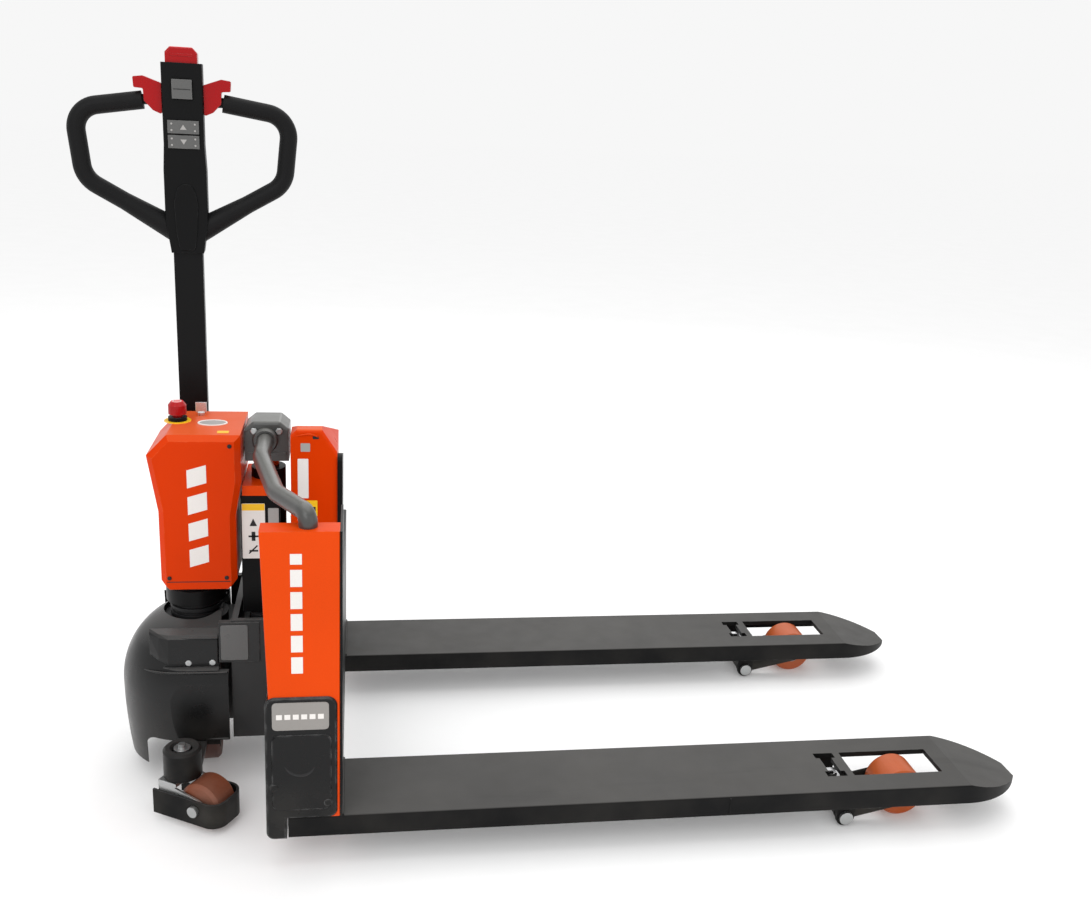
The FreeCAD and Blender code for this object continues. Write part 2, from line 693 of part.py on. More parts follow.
def make_lift_head():
    """The cast block on top of the ram."""
    block = body("LiftHead")
    middle_x = d.ram_x
    half = d.head_half_x
    points = [(middle_x - half, d.head_low), (middle_x + half, d.head_low),
              (middle_x + half, d.head_top - 12), (middle_x + half - 14, d.head_top),
              (middle_x - half + 14, d.head_top), (middle_x - half, d.head_top - 12)]
    pad(block, outline(block, "XZ", points), d.head_half_y * 2)
    soften(block, "Fillet", 6, lambda edge: edge.BoundBox.ZMin > d.head_low.value + 1)
    return block


node(make_barrel(), "lift_barrel", d.steer_x)
node(make_ram(), "lift_ram", d.steer_x)
node(make_lift_head(), "lift_head", d.steer_x)

CONDUIT_ROUTE = [(-124, -33.8, 587), (-124, -120, 584), (-95, -235, 566), (-45, -321, 565),
                 (-45, -321, 545.2)]
CONDUIT_BENDS = [70, 70, 16]
conduit = bent_tube("Conduit", CONDUIT_ROUTE, CONDUIT_BENDS, d.tube_r)
node(conduit, "lift_conduit", d.heel_x)


# ---------------------------------------------------------------- chassis

def make_chassis():
    """The welded drive frame: deck, side plates, floor plate, stub pins and front arms."""
    parts = [cylinder("DeckRound", "Z", d.deck_r, (d.deck_low, d.deck_high)),
             box("Deck", (0, d.side_start + 20), (-d.deck_half, d.deck_half),
                 (d.deck_low, d.deck_high)),
             box("Bridge", (d.side_start, d.side_start + 10), (-d.side_in, d.side_in),
                 (d.deck_low - 20, d.side_high - 6)),
             box("CylinderShelf", (d.side_start, d.ram_x + 34), (-64, 64),
                 (d.cyl_shelf, d.cyl_foot)),
             box("Floor", (d.side_start, d.side_end), (-d.side_in, d.side_in),
                 (d.side_low, d.side_low + 12))]
    link_at = (d.heel_x - d.steer_x + d.shaft_x - d.link_x, d.shaft_z + d.link_z)
    for sign in (-1, 1):
        inner, outer = d.side_in * sign, d.side_out * sign
        span = (inner, outer) if sign > 0 else (outer, inner)
        parts.append(box("SidePlate", (d.side_start, d.side_end), span,
                         (d.side_low, d.side_high)))
        parts.append(box("FrontArm", (d.arm_start, d.side_start + 46),
                         (span[0] - 2, span[1] + 2), (d.arm_low, d.arm_high)))
        tip = (d.link_y - 3) * sign
        stub = (tip, inner) if sign > 0 else (inner, tip)
        parts.append(cylinder("LinkStub", "Y", d.pin_r, stub, link_at))
    bore = cylinder("DeckBore", "Z", d.neck_r + 4, (d.deck_low - 1, d.deck_high + 1))
    wheel_room = cylinder("WheelRoom", "Z", d.wheel_r + 8, (d.side_low - 30, d.deck_low - 22))
    return cut("ChassisShape", fuse("ChassisBlank", *parts), bore, wheel_room)


node(make_chassis(), "chassis_frame", d.steer_x)


def fender_blank(name, inset, rear, foot):
    """The fender's outer form, or its hollow when inset: a half dome run on into two flanks."""
    shell = body(name)
    radius, flat, top = d.fender_r - inset, d.dome_flat - inset, d.dome_top - inset
    rise, reach = top - d.dome_z, radius - flat
    crown = (rise * rise + reach * reach) / (2 * reach)
    fall, tuck = d.dome_z - foot, d.fender_r - d.fender_foot_r
    belly = (fall * fall + tuck * tuck) / (2 * tuck)
    low = d.fender_foot_r - inset
    half = [(0, foot), (low, foot), (radius, d.dome_z, belly), (flat, top, crown), (0, top)]
    sketch = outline(shell, "XZ", half)
    feature = shell.newObject("PartDesign::Revolution", name + "Dome")
    feature.Profile = sketch
    feature.ReferenceAxis = (sketch, ["V_Axis"])
    feature.Angle = 360
    doc.recompute()
    pad(shell, outline(shell, "YZ", [
        (-low, foot, belly), (low, foot), (radius, d.dome_z, belly), (flat, top, crown),
        (-flat, top), (-radius, d.dome_z, crown)]), rear, centred=False)
    far = d.fender_r + 30
    step_top, step_mid, step_low = 276, 240, 213 - inset
    for sign in (-1, 1):
        notch = [(sign * (81 - inset), step_top), (sign * (101 - inset), step_mid),
                 (sign * (103 - inset), 217 - inset), (sign * (d.fender_half - inset), step_low),
                 (sign * (d.fender_half - inset), foot - 5), (sign * far, foot - 5),
                 (sign * far, step_top)]
        pocket(shell, outline(shell, "YZ", notch), far * 3)
    return shell


def make_fender():
    """The shell round the drive wheel: closed in front and at the sides, open to the rear."""
    outer = fender_blank("FenderOuter", as_size(0), d.fender_end, d.fender_low)
    inner = fender_blank("FenderInner", d.fender_skin, d.fender_end + 20, d.fender_low - 15)
    far = d.fender_r + 10
    behind = box("FenderBehind", (d.fender_end, far), (-far, far), (0, 300))
    step = box("FenderStep", (d.fender_step_end, far), (-far, far), (213, 300))
    mouth = box("FenderMouth", (0, far), (-97, 97), (0, 213.5))
    under = body("FenderUnder")
    pad(under, outline(under, "XZ", [
        (-d.side_front, 0), (far, 0), (far, d.side_edge), (-d.side_front + 18, d.side_edge),
        (-d.side_front, d.side_edge - 18, as_size(18))]), far * 2)
    hole = cylinder("FenderHole", "Z", d.neck_hole, (200, 300))
    return cut("FenderShape", outer, inner, behind, step, under, hole, mouth)


node(make_fender(), "drive_fender", d.steer_x)


def make_fender_screws():
    """Two screws on each flank, heads out."""
    screws = []
    for sign in (-1, 1):
        for x in (-2, 36):
            low, high = (-107, -103.2) if sign < 0 else (103.2, 107)
            screws.append(cylinder("FenderScrew", "Y", 5, (low, high), (x, 226)))
    return group("FenderScrews", *screws)


node(make_fender_screws(), "fender_screws", d.steer_x)

race = cut("RaceShape", cylinder("RaceOuter", "Z", d.race_out - 6, (d.deck_high, d.race_high)),
           cylinder("RaceBore", "Z", d.neck_r + 0.3, (d.deck_high - 1, d.race_high + 1)))
node(race, "slewing_ring", d.steer_x)

node(cylinder("PumpMotor", "Z", 18, (d.cyl_foot + 0.1, 292), (d.side_start + 46, -50)),
     "pump_motor", d.steer_x)
node(box("OilTank", (d.side_start + 20.3, d.side_end - 12), (32, 68), (d.cyl_foot + 0.1, 292)),
     "oil_tank", d.steer_x)


# ---------------------------------------------------------------- power cover and column

def power_blank(name, inset):
    """The power cover's outer form, or its hollow when inset."""
    case = body(name)
    low, top = d.box_low + inset, d.box_top - inset
    front, rear = -d.box_front + inset, d.box_rear - inset
    waist_front, waist_rear = -d.waist_front + inset, d.waist_rear - inset
    points = [(waist_front + 14, low), (waist_rear - 14, low), (waist_rear, low + 14),
              (waist_rear, 470), (rear, 528), (rear, top), (front + 32, top),
              (front, d.box_wide_z), (waist_front, 478), (waist_front, low + 14)]
    pad(case, outline(case, "XZ", points), (d.box_half - inset) * 2)
    soften(case, "Chamfer", d.box_bevel, lambda edge: edge.BoundBox.YLength < 0.01
           and edge.BoundBox.ZMin > low.value + 1)
    return case


power_shell = cut("PowerShell", power_blank("PowerOuter", as_size(0)),
                  power_blank("PowerInner", d.box_skin))
power_cover = cut("PowerShape", power_shell,
                  box("PowerUnder", (-25, 55), (-60, 60), (330, 360)))
node(power_cover, "power_cover", d.steer_x)
node(box("Controller", (-20, 50), (-45, 45), (400, 560)), "controller_unit", d.steer_x)


def make_shelf():
    """The bridge from the power cover to the lift column."""
    plate = box("Shelf", (d.box_rear - 0.5, d.ram_x + 2), (-60, 60), (d.shelf_low, d.shelf_high))
    hole = cylinder("ShelfHole", "Z", d.barrel_r + 0.3, (d.shelf_low - 1, d.shelf_high + 1),
                    (d.ram_x, 0))
    return cut("ShelfShape", plate, hole)


node(make_shelf(), "cover_shelf", d.steer_x)


def make_column_cover():
    """A dark folded cover in front of the lift cylinder, standing on the deck bridge."""
    half = d.column_half
    front = d.waist_rear + 6.5
    outer = box("ColumnOuter", (front, d.ram_x + 22), (-half, half), (d.side_high - 6, 499.8))
    inner = box("ColumnInner", (front + 3, d.ram_x + 40), (-half + 3, half - 3),
                (200, d.shelf_low + 5))
    return cut("ColumnShape", outer, inner)


node(make_column_cover(), "column_cover", d.steer_x)


def make_estop_base():
    """The stop button's collar."""
    outer = cylinder("StopCollar", "Z", 15, (d.box_top, d.box_top + 7), (-21, 12))
    bore = cylinder("StopBore", "Z", 8, (d.box_top - 1, d.box_top + 8), (-21, 12))
    return cut("StopBase", outer, bore)


def make_estop():
    """A mushroom button on its stem."""
    head = turned("StopHead", [(0, 12), (14.5, 12), (14.5, 27), (10, 33), (0, 33)])
    stem = cylinder("StopStem", "Z", 7.6, (5.5, 13))
    return place(fuse("StopButton", head, stem), -21, 12, d.box_top)


def make_key():
    """A flat key standing in its lock; its barrel turns with it."""
    barrel = cylinder("KeyBarrel", "Z", 6, (0, 5))
    bow = box("KeyBow", (-9, 9), (-1.2, 1.2), (4.5, 22))
    return place(fuse("KeyShape", barrel, bow), 12, 48, d.box_top + 0.2)


node(make_estop_base(), "estop_base", d.steer_x)
node(make_estop(), "estop_button", d.steer_x)
node(make_key(), "ignition_key", d.steer_x)


# ---------------------------------------------------------------- steering head

def make_neck():
    """The hollow steering neck with its ribbed collar, down to the flange of the yoke."""
    parts = [cylinder("NeckTube", "Z", d.neck_r, (d.neck_low, d.neck_high))]
    for low in (274, 286, 332):
        parts.append(cylinder("NeckRing", "Z", d.ring_out, (low, low + 6)))
    bore = cylinder("NeckBore", "Z", d.neck_bore, (d.neck_low - 1, d.neck_high - 5))
    return cut("NeckShape", fuse("NeckBlank", *parts), bore)


node(make_neck(), "steering_neck", d.steer_x, turn=d.head_turn)


def make_bracket():
    """The arm clamped round the neck that carries the tiller between two ears."""
    inner_x, outer_x = d.shaft_half_x + 1, d.shaft_half_x + 9
    low, high = 300, 326
    parts = [cylinder("BracketRing", "Z", d.neck_r + 11, (low, high)),
             box("BracketArm", (-outer_x, outer_x), (d.neck_r + 2, d.hinge_y - 24),
                 (low, high))]
    for span in ((-outer_x, -inner_x), (inner_x, outer_x)):
        parts.append(box("BracketEar", span, (d.hinge_y - 25, d.hinge_y), (low, d.hinge_z)))
        parts.append(cylinder("BracketBoss", "X", 20, span, (d.hinge_y, d.hinge_z)))
    clamp = cylinder("BracketClamp", "Z", d.neck_r + 0.2, (low - 1, high + 1))
    bore = cylinder("BracketBore", "X", d.pin_r + d.fit, (-outer_x - 1, outer_x + 1),
                    (d.hinge_y, d.hinge_z))
    return cut("BracketShape", fuse("BracketBlank", *parts), clamp, bore)


node(make_bracket(), "tiller_bracket", d.steer_x, turn=d.head_turn)

pin_end = d.shaft_half_x + 10
pin_centre = (d.hinge_y, d.hinge_z)
tiller_pin = fuse("TillerPin",
                  cylinder("TillerPinShank", "X", d.pin_r, (-pin_end, pin_end), pin_centre),
                  cylinder("TillerPinHead", "X", d.pin_r + 4, (-pin_end - 5, 0.2 - pin_end),
                           pin_centre),
                  cylinder("TillerPinNut", "X", d.pin_r + 4, (pin_end - 0.2, pin_end + 5),
                           pin_centre))
node(tiller_pin, "tiller_pin", d.steer_x, turn=d.head_turn)


def make_yoke():
    """The yoke over the drive wheel: a flange, a gearbox leg and a motor leg."""
    out = d.leg_in + d.leg_thick
    top = d.wheel_r * 2 + 6
    parts = [cylinder("YokeFlange", "Z", 60, (top, d.neck_low))]
    for span in ((-out, -d.leg_in), (d.leg_in, out)):
        parts.append(box("YokeLeg", span, (-d.leg_r, d.leg_r), (d.wheel_r, top)))
        parts.append(cylinder("YokeHub", "X", d.leg_r, span, (0, d.wheel_r)))
    parts.append(cylinder("YokeGearCap", "X", 26, (-out - 10, -out), (0, d.wheel_r)))
    bore = cylinder("YokeBore", "X", d.hub_bore, (-out, out), (0, d.wheel_r))
    return cut("YokeShape", fuse("YokeBlank", *parts), bore)


node(make_yoke(), "gearbox_yoke", d.steer_x, turn=d.head_turn)

motor_low = d.leg_in + d.leg_thick
node(cylinder("TractionMotor", "X", 36, (motor_low, motor_low + 38), (0, d.wheel_r)),
     "traction_motor", d.steer_x, turn=d.head_turn)

half_tread = d.wheel_wide / 2
hub_r = d.wheel_r - d.tread
tyre_points = [(hub_r, -half_tread + 2), (d.wheel_r - 5, -half_tread), (d.wheel_r, 5 - half_tread),
               (d.wheel_r, half_tread - 5), (d.wheel_r - 5, half_tread), (hub_r, half_tread - 2)]
at_hub = (0, 0, d.wheel_r)
node(turned_along("DriveTyre", "X", tyre_points, at_hub), "drive_tyre", d.steer_x,
     turn=d.head_turn)
hub_points = [(0, -half_tread + 4), (hub_r, -half_tread + 4), (hub_r, half_tread - 4),
              (0, half_tread - 4)]
hub = fuse("DriveHubWhole", turned_along("DriveHub", "X", hub_points, at_hub),
           cylinder("DriveAxle", "X", d.hub_bore - d.fit, (-d.leg_in - 12, d.leg_in + 12),
                    (0, d.wheel_r)))
node(hub, "drive_hub", d.steer_x, turn=d.head_turn)


# ---------------------------------------------------------------- tiller and its controls

def make_tiller_shaft():
    """The square tiller tube with its rounded, bored foot."""
    span_x = (-d.shaft_half_x, d.shaft_half_x)
    span_y = (d.hinge_y - d.shaft_half_y, d.hinge_y + d.shaft_half_y)
    tube = box("TillerTube", span_x, span_y, (d.hinge_z, d.tiller_top))
    foot = cylinder("TillerFoot", "X", d.shaft_half_y, span_x, pin_centre)
    bore = cylinder("TillerBore", "X", d.pin_r + d.fit, (-40, 40), pin_centre)
    return cut("TillerShape", fuse("TillerBlank", tube, foot), bore)


node(make_tiller_shaft(), "tiller_shaft", d.steer_x, turn=d.head_turn)


def housing_blank(name, gap):
    """The handle housing's outer form, or the room that the grips leave for it."""
    case = body(name)
    half, stem = d.housing_half + gap, d.stem_half + gap
    neck, low, top = d.shaft_half_x + 2.5 + gap, d.housing_low - gap, d.housing_top + gap
    points = [(-neck, low), (neck, low), (stem, low + 55), (stem, 1000), (half, 1040),
              (half, top), (-half, top), (-half, 1040), (-stem, 1000), (-stem, low + 55)]
    pad(case, outline(case, "XZ", points, -d.hinge_y), (d.housing_half_y + gap) * 2)
    return case


def make_housing():
    """The handle housing: a flared stem and a head with pockets for the controls."""
    case = housing_blank("Housing", as_size(0))
    soften(case, "Fillet", 5, along("z"))
    low, top = d.housing_low, d.housing_top
    front = d.hinge_y - d.housing_half_y
    tools = [box("ShaftSocket", (-d.shaft_half_x - 0.1, d.shaft_half_x + 0.1),
                 (d.hinge_y - d.shaft_half_y - 0.1, d.hinge_y + d.shaft_half_y + 0.1),
                 (low - 1, d.tiller_top + 0.2)),
             box("HornPocket", (-16.2, 16.2), (front - 1, front + 12), (1110.5, 1142)),
             box("RaisePocket", (-24.5, 24.5), (front - 1, front + 10), (1057.5, 1079)),
             box("LowerPocket", (-24.5, 24.5), (front - 1, front + 10), (1034.5, 1056)),
             box("CapPocket", (-25.3, 25.3), (front + 3.2, d.hinge_y + d.housing_half_y - 3.2),
                 (top - 16, top + 1))]
    return cut("HousingShape", case, *tools)


node(make_housing(), "handle_housing", d.steer_x, turn=d.head_turn)

GRIP_ROUTE = [(62, 1107), (168, 1090), (157, 982), (10, 897.8)]
GRIP_BENDS = [38, 42]
ROOT_LONG = 100


def make_grip():
    """One grip loop: a bent tube that swells into the stem, and a thin arm to the head."""
    points = [(x, d.hinge_y.value, z) for x, z in GRIP_ROUTE]
    tube = bent_tube("Grip", points, GRIP_BENDS, d.grip_r)
    root = doc.addObject("Part::Cone", "GripRoot")
    bind(root, "Radius1", d.grip_r + 6)
    bind(root, "Radius2", d.grip_r)
    root.Height = ROOT_LONG
    foot, bend = Vector(*points[-1]), Vector(*points[-2])
    root.Placement = Placement(foot, Rotation(Vector(0, 0, 1), bend - foot))
    arm = cylinder("GripArm", "X", 8, (d.housing_half + 0.1, 64), (d.hinge_y, d.wing_z))
    return cut("GripShape", fuse("GripBlank", tube, root, arm),
               housing_blank("GripStem", as_size(0.1)),
               box("GripInside", (-60, 0), (80, 160), (800, 1000)))


grip = make_grip()
node(grip, "grip_loop_right", d.steer_x, turn=d.head_turn)
other_grip = doc.addObject("Part::Mirroring", "GripTwin")
other_grip.Source = make_grip()
other_grip.Normal = Vector(1, 0, 0)
node(other_grip, "grip_loop_left", d.steer_x, turn=d.head_turn)


def make_wing(side):
    """One butterfly wing of the speed control, bored for the thin arm that it turns on."""
    wing = body("Wing")
    near = d.housing_half + 0.8
    points = [(near, 1086), (46, 1092), (59, 1106), (60, 1124.6), (74, 1125.5), (75, 1142),
              (60, 1144), (near, 1134)]
    flipped = [(as_size(x) * side, z) for x, z in points]
    pad(wing, outline(wing, "XZ", flipped, -d.hinge_y), 25)
    soften(wing, "Fillet", 2.5, lambda edge: edge.BoundBox.YLength > 20)
    bore = cylinder("WingBore", "X", 8.4, (-80, 80), (d.hinge_y, d.wing_z))
    return cut("WingShape", wing, bore)


node(make_wing(1), "throttle_wing_right", d.steer_x, turn=d.head_turn)
node(make_wing(-1), "throttle_wing_left", d.steer_x, turn=d.head_turn)

front_y = d.hinge_y - d.housing_half_y


def make_reverse_cap():
    """The belly button in the top of the head."""
    cap = body("ReverseCap")
    low = d.housing_top - 8
    points = [(-24.5, low), (24.5, low), (24.5, d.cap_top - 8), (17, d.cap_top),
              (-17, d.cap_top), (-24.5, d.cap_top - 8)]
    pad(cap, outline(cap, "XZ", points, -d.hinge_y), 36)
    soften(cap, "Fillet", 3, lambda edge: edge.BoundBox.ZMin > low.value + 1)
    return cap


node(make_reverse_cap(), "reverse_button", d.steer_x, turn=d.head_turn)
node(box("HornButton", (-15.4, 15.4), (front_y - 4, front_y + 7), (1111.3, 1141.2)),
     "horn_button", d.steer_x, turn=d.head_turn)
node(box("RaiseButton", (-24, 24), (front_y - 3, front_y + 5), (1058, 1078.5)),
     "raise_button", d.steer_x, turn=d.head_turn)
node(box("LowerButton", (-24, 24), (front_y - 3, front_y + 5), (1035, 1055.5)),
     "lower_button", d.steer_x, turn=d.head_turn)


# ---------------------------------------------------------------- stabiliser casters

caster_at = d.steer_x + d.caster_x
stud_r = 8


def make_caster_arm():
    """The bracket bolted inside the fender flank, with the collar round the caster stud."""
    inner = -d.fender_half + d.fender_skin
    parts = [box("CasterPlate", (-2, 46), (inner + 0.3, inner + 4), (d.side_edge - 10, 188)),
             box("CasterShelf", (-20, 24), (-d.caster_y, inner + 4),
                 (d.side_edge - 12, d.side_edge - 2)),
             cylinder("CasterCollar", "Z", d.buffer_r, (72, 110), (d.caster_x, -d.caster_y)),
             place(turned("CasterRim", [(15, 109), (d.buffer_r, 109), (d.buffer_r, 116),
                                        (d.buffer_r - 4, 120), (19, 120), (15, 116)]),
                   d.caster_x, -d.caster_y)]
    bore = cylinder("CasterBore", "Z", stud_r + d.fit, (60, 120), (d.caster_x, -d.caster_y))
    return cut("CasterArmShape", fuse("CasterArmBlank", *parts), bore)


caster_arm = node(make_caster_arm(), "caster_arm_right", d.steer_x)
mirrored(caster_arm, "caster_arm_left")


def make_caster_fork():
    """The zinc fork with its stud, and the axle bolt with its nuts."""
    half = d.caster_wide / 2 + 3
    top = d.caster_r * 2 - 9
    parts = [cylinder("CasterCrown", "Z", 20, (top - 1, top + 5)),
             cylinder("CasterStud", "Z", stud_r, (top, 112)),
             cylinder("CasterNut", "Z", 13, (111, 119)),
             cylinder("CasterBolt", "Z", 6, (118, 125)),
             box("CasterRoof", (-24, 10), (-half - 4, half + 4), (top - 1, top + 5))]
    for span in ((-half - 4, -half), (half, half + 4)):
        parts.append(link_plate("CasterLeg", (-8, top - 16), (d.trail, d.caster_r), 16, 16,
                                span))
        parts.append(box("CasterCheek", (-24, 8), span, (top - 18, top)))
    for low, high in ((-half - 15, -half - 1), (half + 1, half + 15)):
        parts.append(cylinder("CasterAxleNut", "Y", 9, (low, high), (d.trail, d.caster_r)))
    parts.append(cylinder("CasterAxle", "Y", 6, (-half - 2, half + 2), (d.trail, d.caster_r)))
    return fuse("CasterForkShape", *parts)


def make_guard():
    """The black toe guard round the caster wheel, with holes for the axle nuts."""
    guard = body("Guard")
    outer, inner = d.caster_wide / 2 + 12, d.caster_wide / 2 + 8
    back, front = -32, 93
    pad(guard, outline(guard, "XY", [
        (back, -outer), (front - 24, -outer), (front, 24 - outer, as_size(24)),
        (front, outer - 24), (front - 24, outer, as_size(24)), (back, outer)], 12), 42,
        centred=False)
    pocket(guard, outline(guard, "XY", [
        (back - 4, -inner), (front - 24, -inner), (front - 4, 20 - inner, as_size(20)),
        (front - 4, inner - 20), (front - 24, inner, as_size(20)), (back - 4, inner)], 60), 60,
        centred=False)
    holes = cylinder("GuardHoles", "Y", 9.5, (-60, 60), (d.trail, d.caster_r))
    return cut("GuardShape", guard, holes)


def caster_wheel():
    """The soft caster wheel."""
    return turned_along("CasterWheel", "Y",
                        wheel_section(6 + d.fit, d.caster_r, d.caster_wide, as_size(5)),
                        (d.trail, 0, d.caster_r))


for label, make in (("caster_fork", make_caster_fork), ("caster_guard", make_guard),
                    ("caster_wheel", caster_wheel)):
    right = node(make(), label + "_right", caster_at, -d.caster_y, turn=-d.caster_turn)
    mirrored(right, label + "_left")


# ---------------------------------------------------------------- checks and files

doc.recompute()
failed = [item.Label for item in doc.Objects
          if "Invalid" in item.State or "Error" in item.State]
if failed:
    raise RuntimeError(f"failed objects: {failed}")
for item in NODES:
    if item.Shape.isNull() or not item.Shape.isValid() or not item.Shape.Solids:
        raise RuntimeError(f"{item.Label} has no valid solid")

os.makedirs("parts", exist_ok=True)
for item in NODES:
    item.Shape.exportStep(f"parts/{item.Label}.step")
whole = Part.makeCompound([item.Shape for item in NODES]).BoundBox
print(len(NODES), "sub-parts", whole)
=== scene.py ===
import json
import math

import bmesh
import bpy
from mathutils import Matrix, Vector


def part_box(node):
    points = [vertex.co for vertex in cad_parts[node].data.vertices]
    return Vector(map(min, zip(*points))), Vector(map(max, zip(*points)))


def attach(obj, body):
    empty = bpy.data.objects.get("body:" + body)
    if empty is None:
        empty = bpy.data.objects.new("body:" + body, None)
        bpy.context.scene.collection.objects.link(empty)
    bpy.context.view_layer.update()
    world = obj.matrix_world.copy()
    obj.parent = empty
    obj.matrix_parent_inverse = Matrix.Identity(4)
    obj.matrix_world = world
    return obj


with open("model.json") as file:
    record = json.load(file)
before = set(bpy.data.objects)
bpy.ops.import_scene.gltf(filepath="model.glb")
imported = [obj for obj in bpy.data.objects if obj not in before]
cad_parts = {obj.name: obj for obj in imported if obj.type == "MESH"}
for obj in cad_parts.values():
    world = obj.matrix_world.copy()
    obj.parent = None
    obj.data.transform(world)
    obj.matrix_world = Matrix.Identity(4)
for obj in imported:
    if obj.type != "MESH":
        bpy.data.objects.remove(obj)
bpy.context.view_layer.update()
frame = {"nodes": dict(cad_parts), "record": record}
MM = 0.001

# Working centres in metres: the heel of the forks and the steering axis behind it.
FORK_LONG = 1.150
HEEL_TO_STEER = 0.246
HEEL_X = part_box("fork_right")[1].x - FORK_LONG
STEER_X = HEEL_X - HEEL_TO_STEER
# The steering head is stored a little past straight ahead.
HEAD_TURN = math.radians(4)

# Faces that carry details, in millimetres from the middle plane. The near side is negative.
POWER_FACE = -81
COLUMN_FACE = -58
LIFT_HEAD_FACE = -33
BATTERY_FACE = -75
UPRIGHT_FACE = -342.5
HEEL_COVER_FACE = 346.2
BOSS_FACE = 105
# The faces of the handle housing, of its two rocker buttons, its horn and its belly button.
STEM_FACE, ROCKER_FACE, HORN_FACE, CAP_FACE = 100, 97, 96, 104
SIDES = ((-1, "right"), (1, "left"))


# ---------------------------------------------------------------- camera, light and floor

def add_camera():
    """The camera at the photographed angle: set back on the near side, looking down a little."""
    yaw, pitch, roll = 0.172, 0.291, 0.054
    stand = (HEEL_X + 0.01968, -1.8719, 1.1307)
    ahead = Vector((math.sin(yaw) * math.cos(pitch), math.cos(yaw) * math.cos(pitch),
                    -math.sin(pitch)))
    right = Vector((math.cos(yaw), -math.sin(yaw), 0))
    up = right.cross(ahead)
    tilted_right = right * math.cos(roll) + up * math.sin(roll)
    tilted_up = up * math.cos(roll) - right * math.sin(roll)
    data = bpy.data.cameras.new("camera")
    data.sensor_width = 36
    data.lens = 37.857
    camera = bpy.data.objects.new("camera", data)
    axes = Matrix((tilted_right, tilted_up, -ahead)).transposed().to_4x4()
    camera.matrix_world = Matrix.Translation(stand) @ axes
    bpy.context.scene.collection.objects.link(camera)
    bpy.context.scene.camera = camera


def add_light(name, spot, aim, size, power):
    """A square soft light at a spot, aimed at a point."""
    data = bpy.data.lights.new(name, "AREA")
    data.size = size
    data.energy = power
    light = bpy.data.objects.new(name, data)
    way = Vector(aim) - Vector(spot)
    light.rotation_euler = way.to_track_quat("-Z", "Y").to_euler()
    light.location = spot
    bpy.context.scene.collection.objects.link(light)


def add_room():
    """A pale floor that meets an even pale sky, and four soft lights."""
    world = bpy.data.worlds.new("studio")
    bpy.context.scene.world = world
    world.use_nodes = True
    sky = world.node_tree.nodes["Background"]
    sky.inputs["Color"].default_value = (1.0, 1.0, 1.0, 1)
    sky.inputs["Strength"].default_value = 0.93
    mesh = bpy.data.meshes.new("floor")
    reach = 30
    mesh.from_pydata([(-reach, -reach, 0), (reach, -reach, 0), (reach, reach, 0),
                      (-reach, reach, 0)], [], [(0, 1, 2, 3)])
    floor = bpy.data.objects.new("floor", mesh)
    floor.location.z = -0.0005
    bpy.context.scene.collection.objects.link(floor)
    paper = make_material("floor_paper", (0.86, 0.86, 0.86), rough=0.9, tint=0.01, grain=40,
                          depth=0.02, rounding=0, specular=0.0)
    glow = paper.node_tree.nodes["Principled BSDF"].inputs
    glow["Emission Color"].default_value = (1.0, 1.0, 1.0, 1)
    glow["Emission Strength"].default_value = 0.125
    mesh.materials.append(paper)
    add_light("key", (-1.6, -3.0, 2.9), (-0.3, 0, 0.4), 2.4, 35)
    add_light("fill", (2.6, -2.6, 1.8), (0.1, 0, 0.3), 2.6, 9)
    add_light("top", (0.1, 0.4, 3.6), (0, 0, 0.2), 3.4, 38)
    add_light("back", (0.6, 3.0, 2.4), (0, 0, 0.4), 2.4, 14)


# ---------------------------------------------------------------- materials

def mixed(tree, factor, first, second):
    """A colour mix node; factor, first and second are sockets or plain values."""
    mix = tree.nodes.new("ShaderNodeMix")
    mix.data_type = "RGBA"
    for socket, value in zip((mix.inputs[0], mix.inputs[6], mix.inputs[7]),
                             (factor, first, second)):
        if isinstance(value, bpy.types.NodeSocket):
            tree.links.new(value, socket)
        else:
            socket.default_value = value
    return mix.outputs[2]


def maths(tree, kind, first, second=0.5, third=0.5):
    """A maths node over sockets or numbers, kept between nought and one."""
    node = tree.nodes.new("ShaderNodeMath")
    node.operation = kind
    node.use_clamp = True
    for socket, value in zip(node.inputs, (first, second, third)):
        if isinstance(value, bpy.types.NodeSocket):
            tree.links.new(value, socket)
        else:
            socket.default_value = value
    return node.outputs[0]


def noise(tree, coord, scale, detail=2.0, stretch=(1, 1, 1)):
    """A noise texture over object coordinates, stretched where a finish has a direction."""
    mapping = tree.nodes.new("ShaderNodeMapping")
    mapping.inputs["Scale"].default_value = stretch
    tree.links.new(coord, mapping.inputs["Vector"])
    node = tree.nodes.new("ShaderNodeTexNoise")
    node.inputs["Scale"].default_value = scale
    node.inputs["Detail"].default_value = detail
    tree.links.new(mapping.outputs[0], node.inputs["Vector"])
    return node.outputs["Fac"]


def ranged(tree, value, low, high, to_low=0.0, to_high=1.0):
    """Map a value's span to another span, clamped."""
    node = tree.nodes.new("ShaderNodeMapRange")
    tree.links.new(value, node.inputs["Value"])
    for name, number in (("From Min", low), ("From Max", high), ("To Min", to_low),
                         ("To Max", to_high)):
        node.inputs[name].default_value = number
    return node.outputs[0]


def shade(colour, factor):
    """A colour made lighter or darker."""
    return tuple(min(1.0, channel * factor) for channel in colour) + (1,)


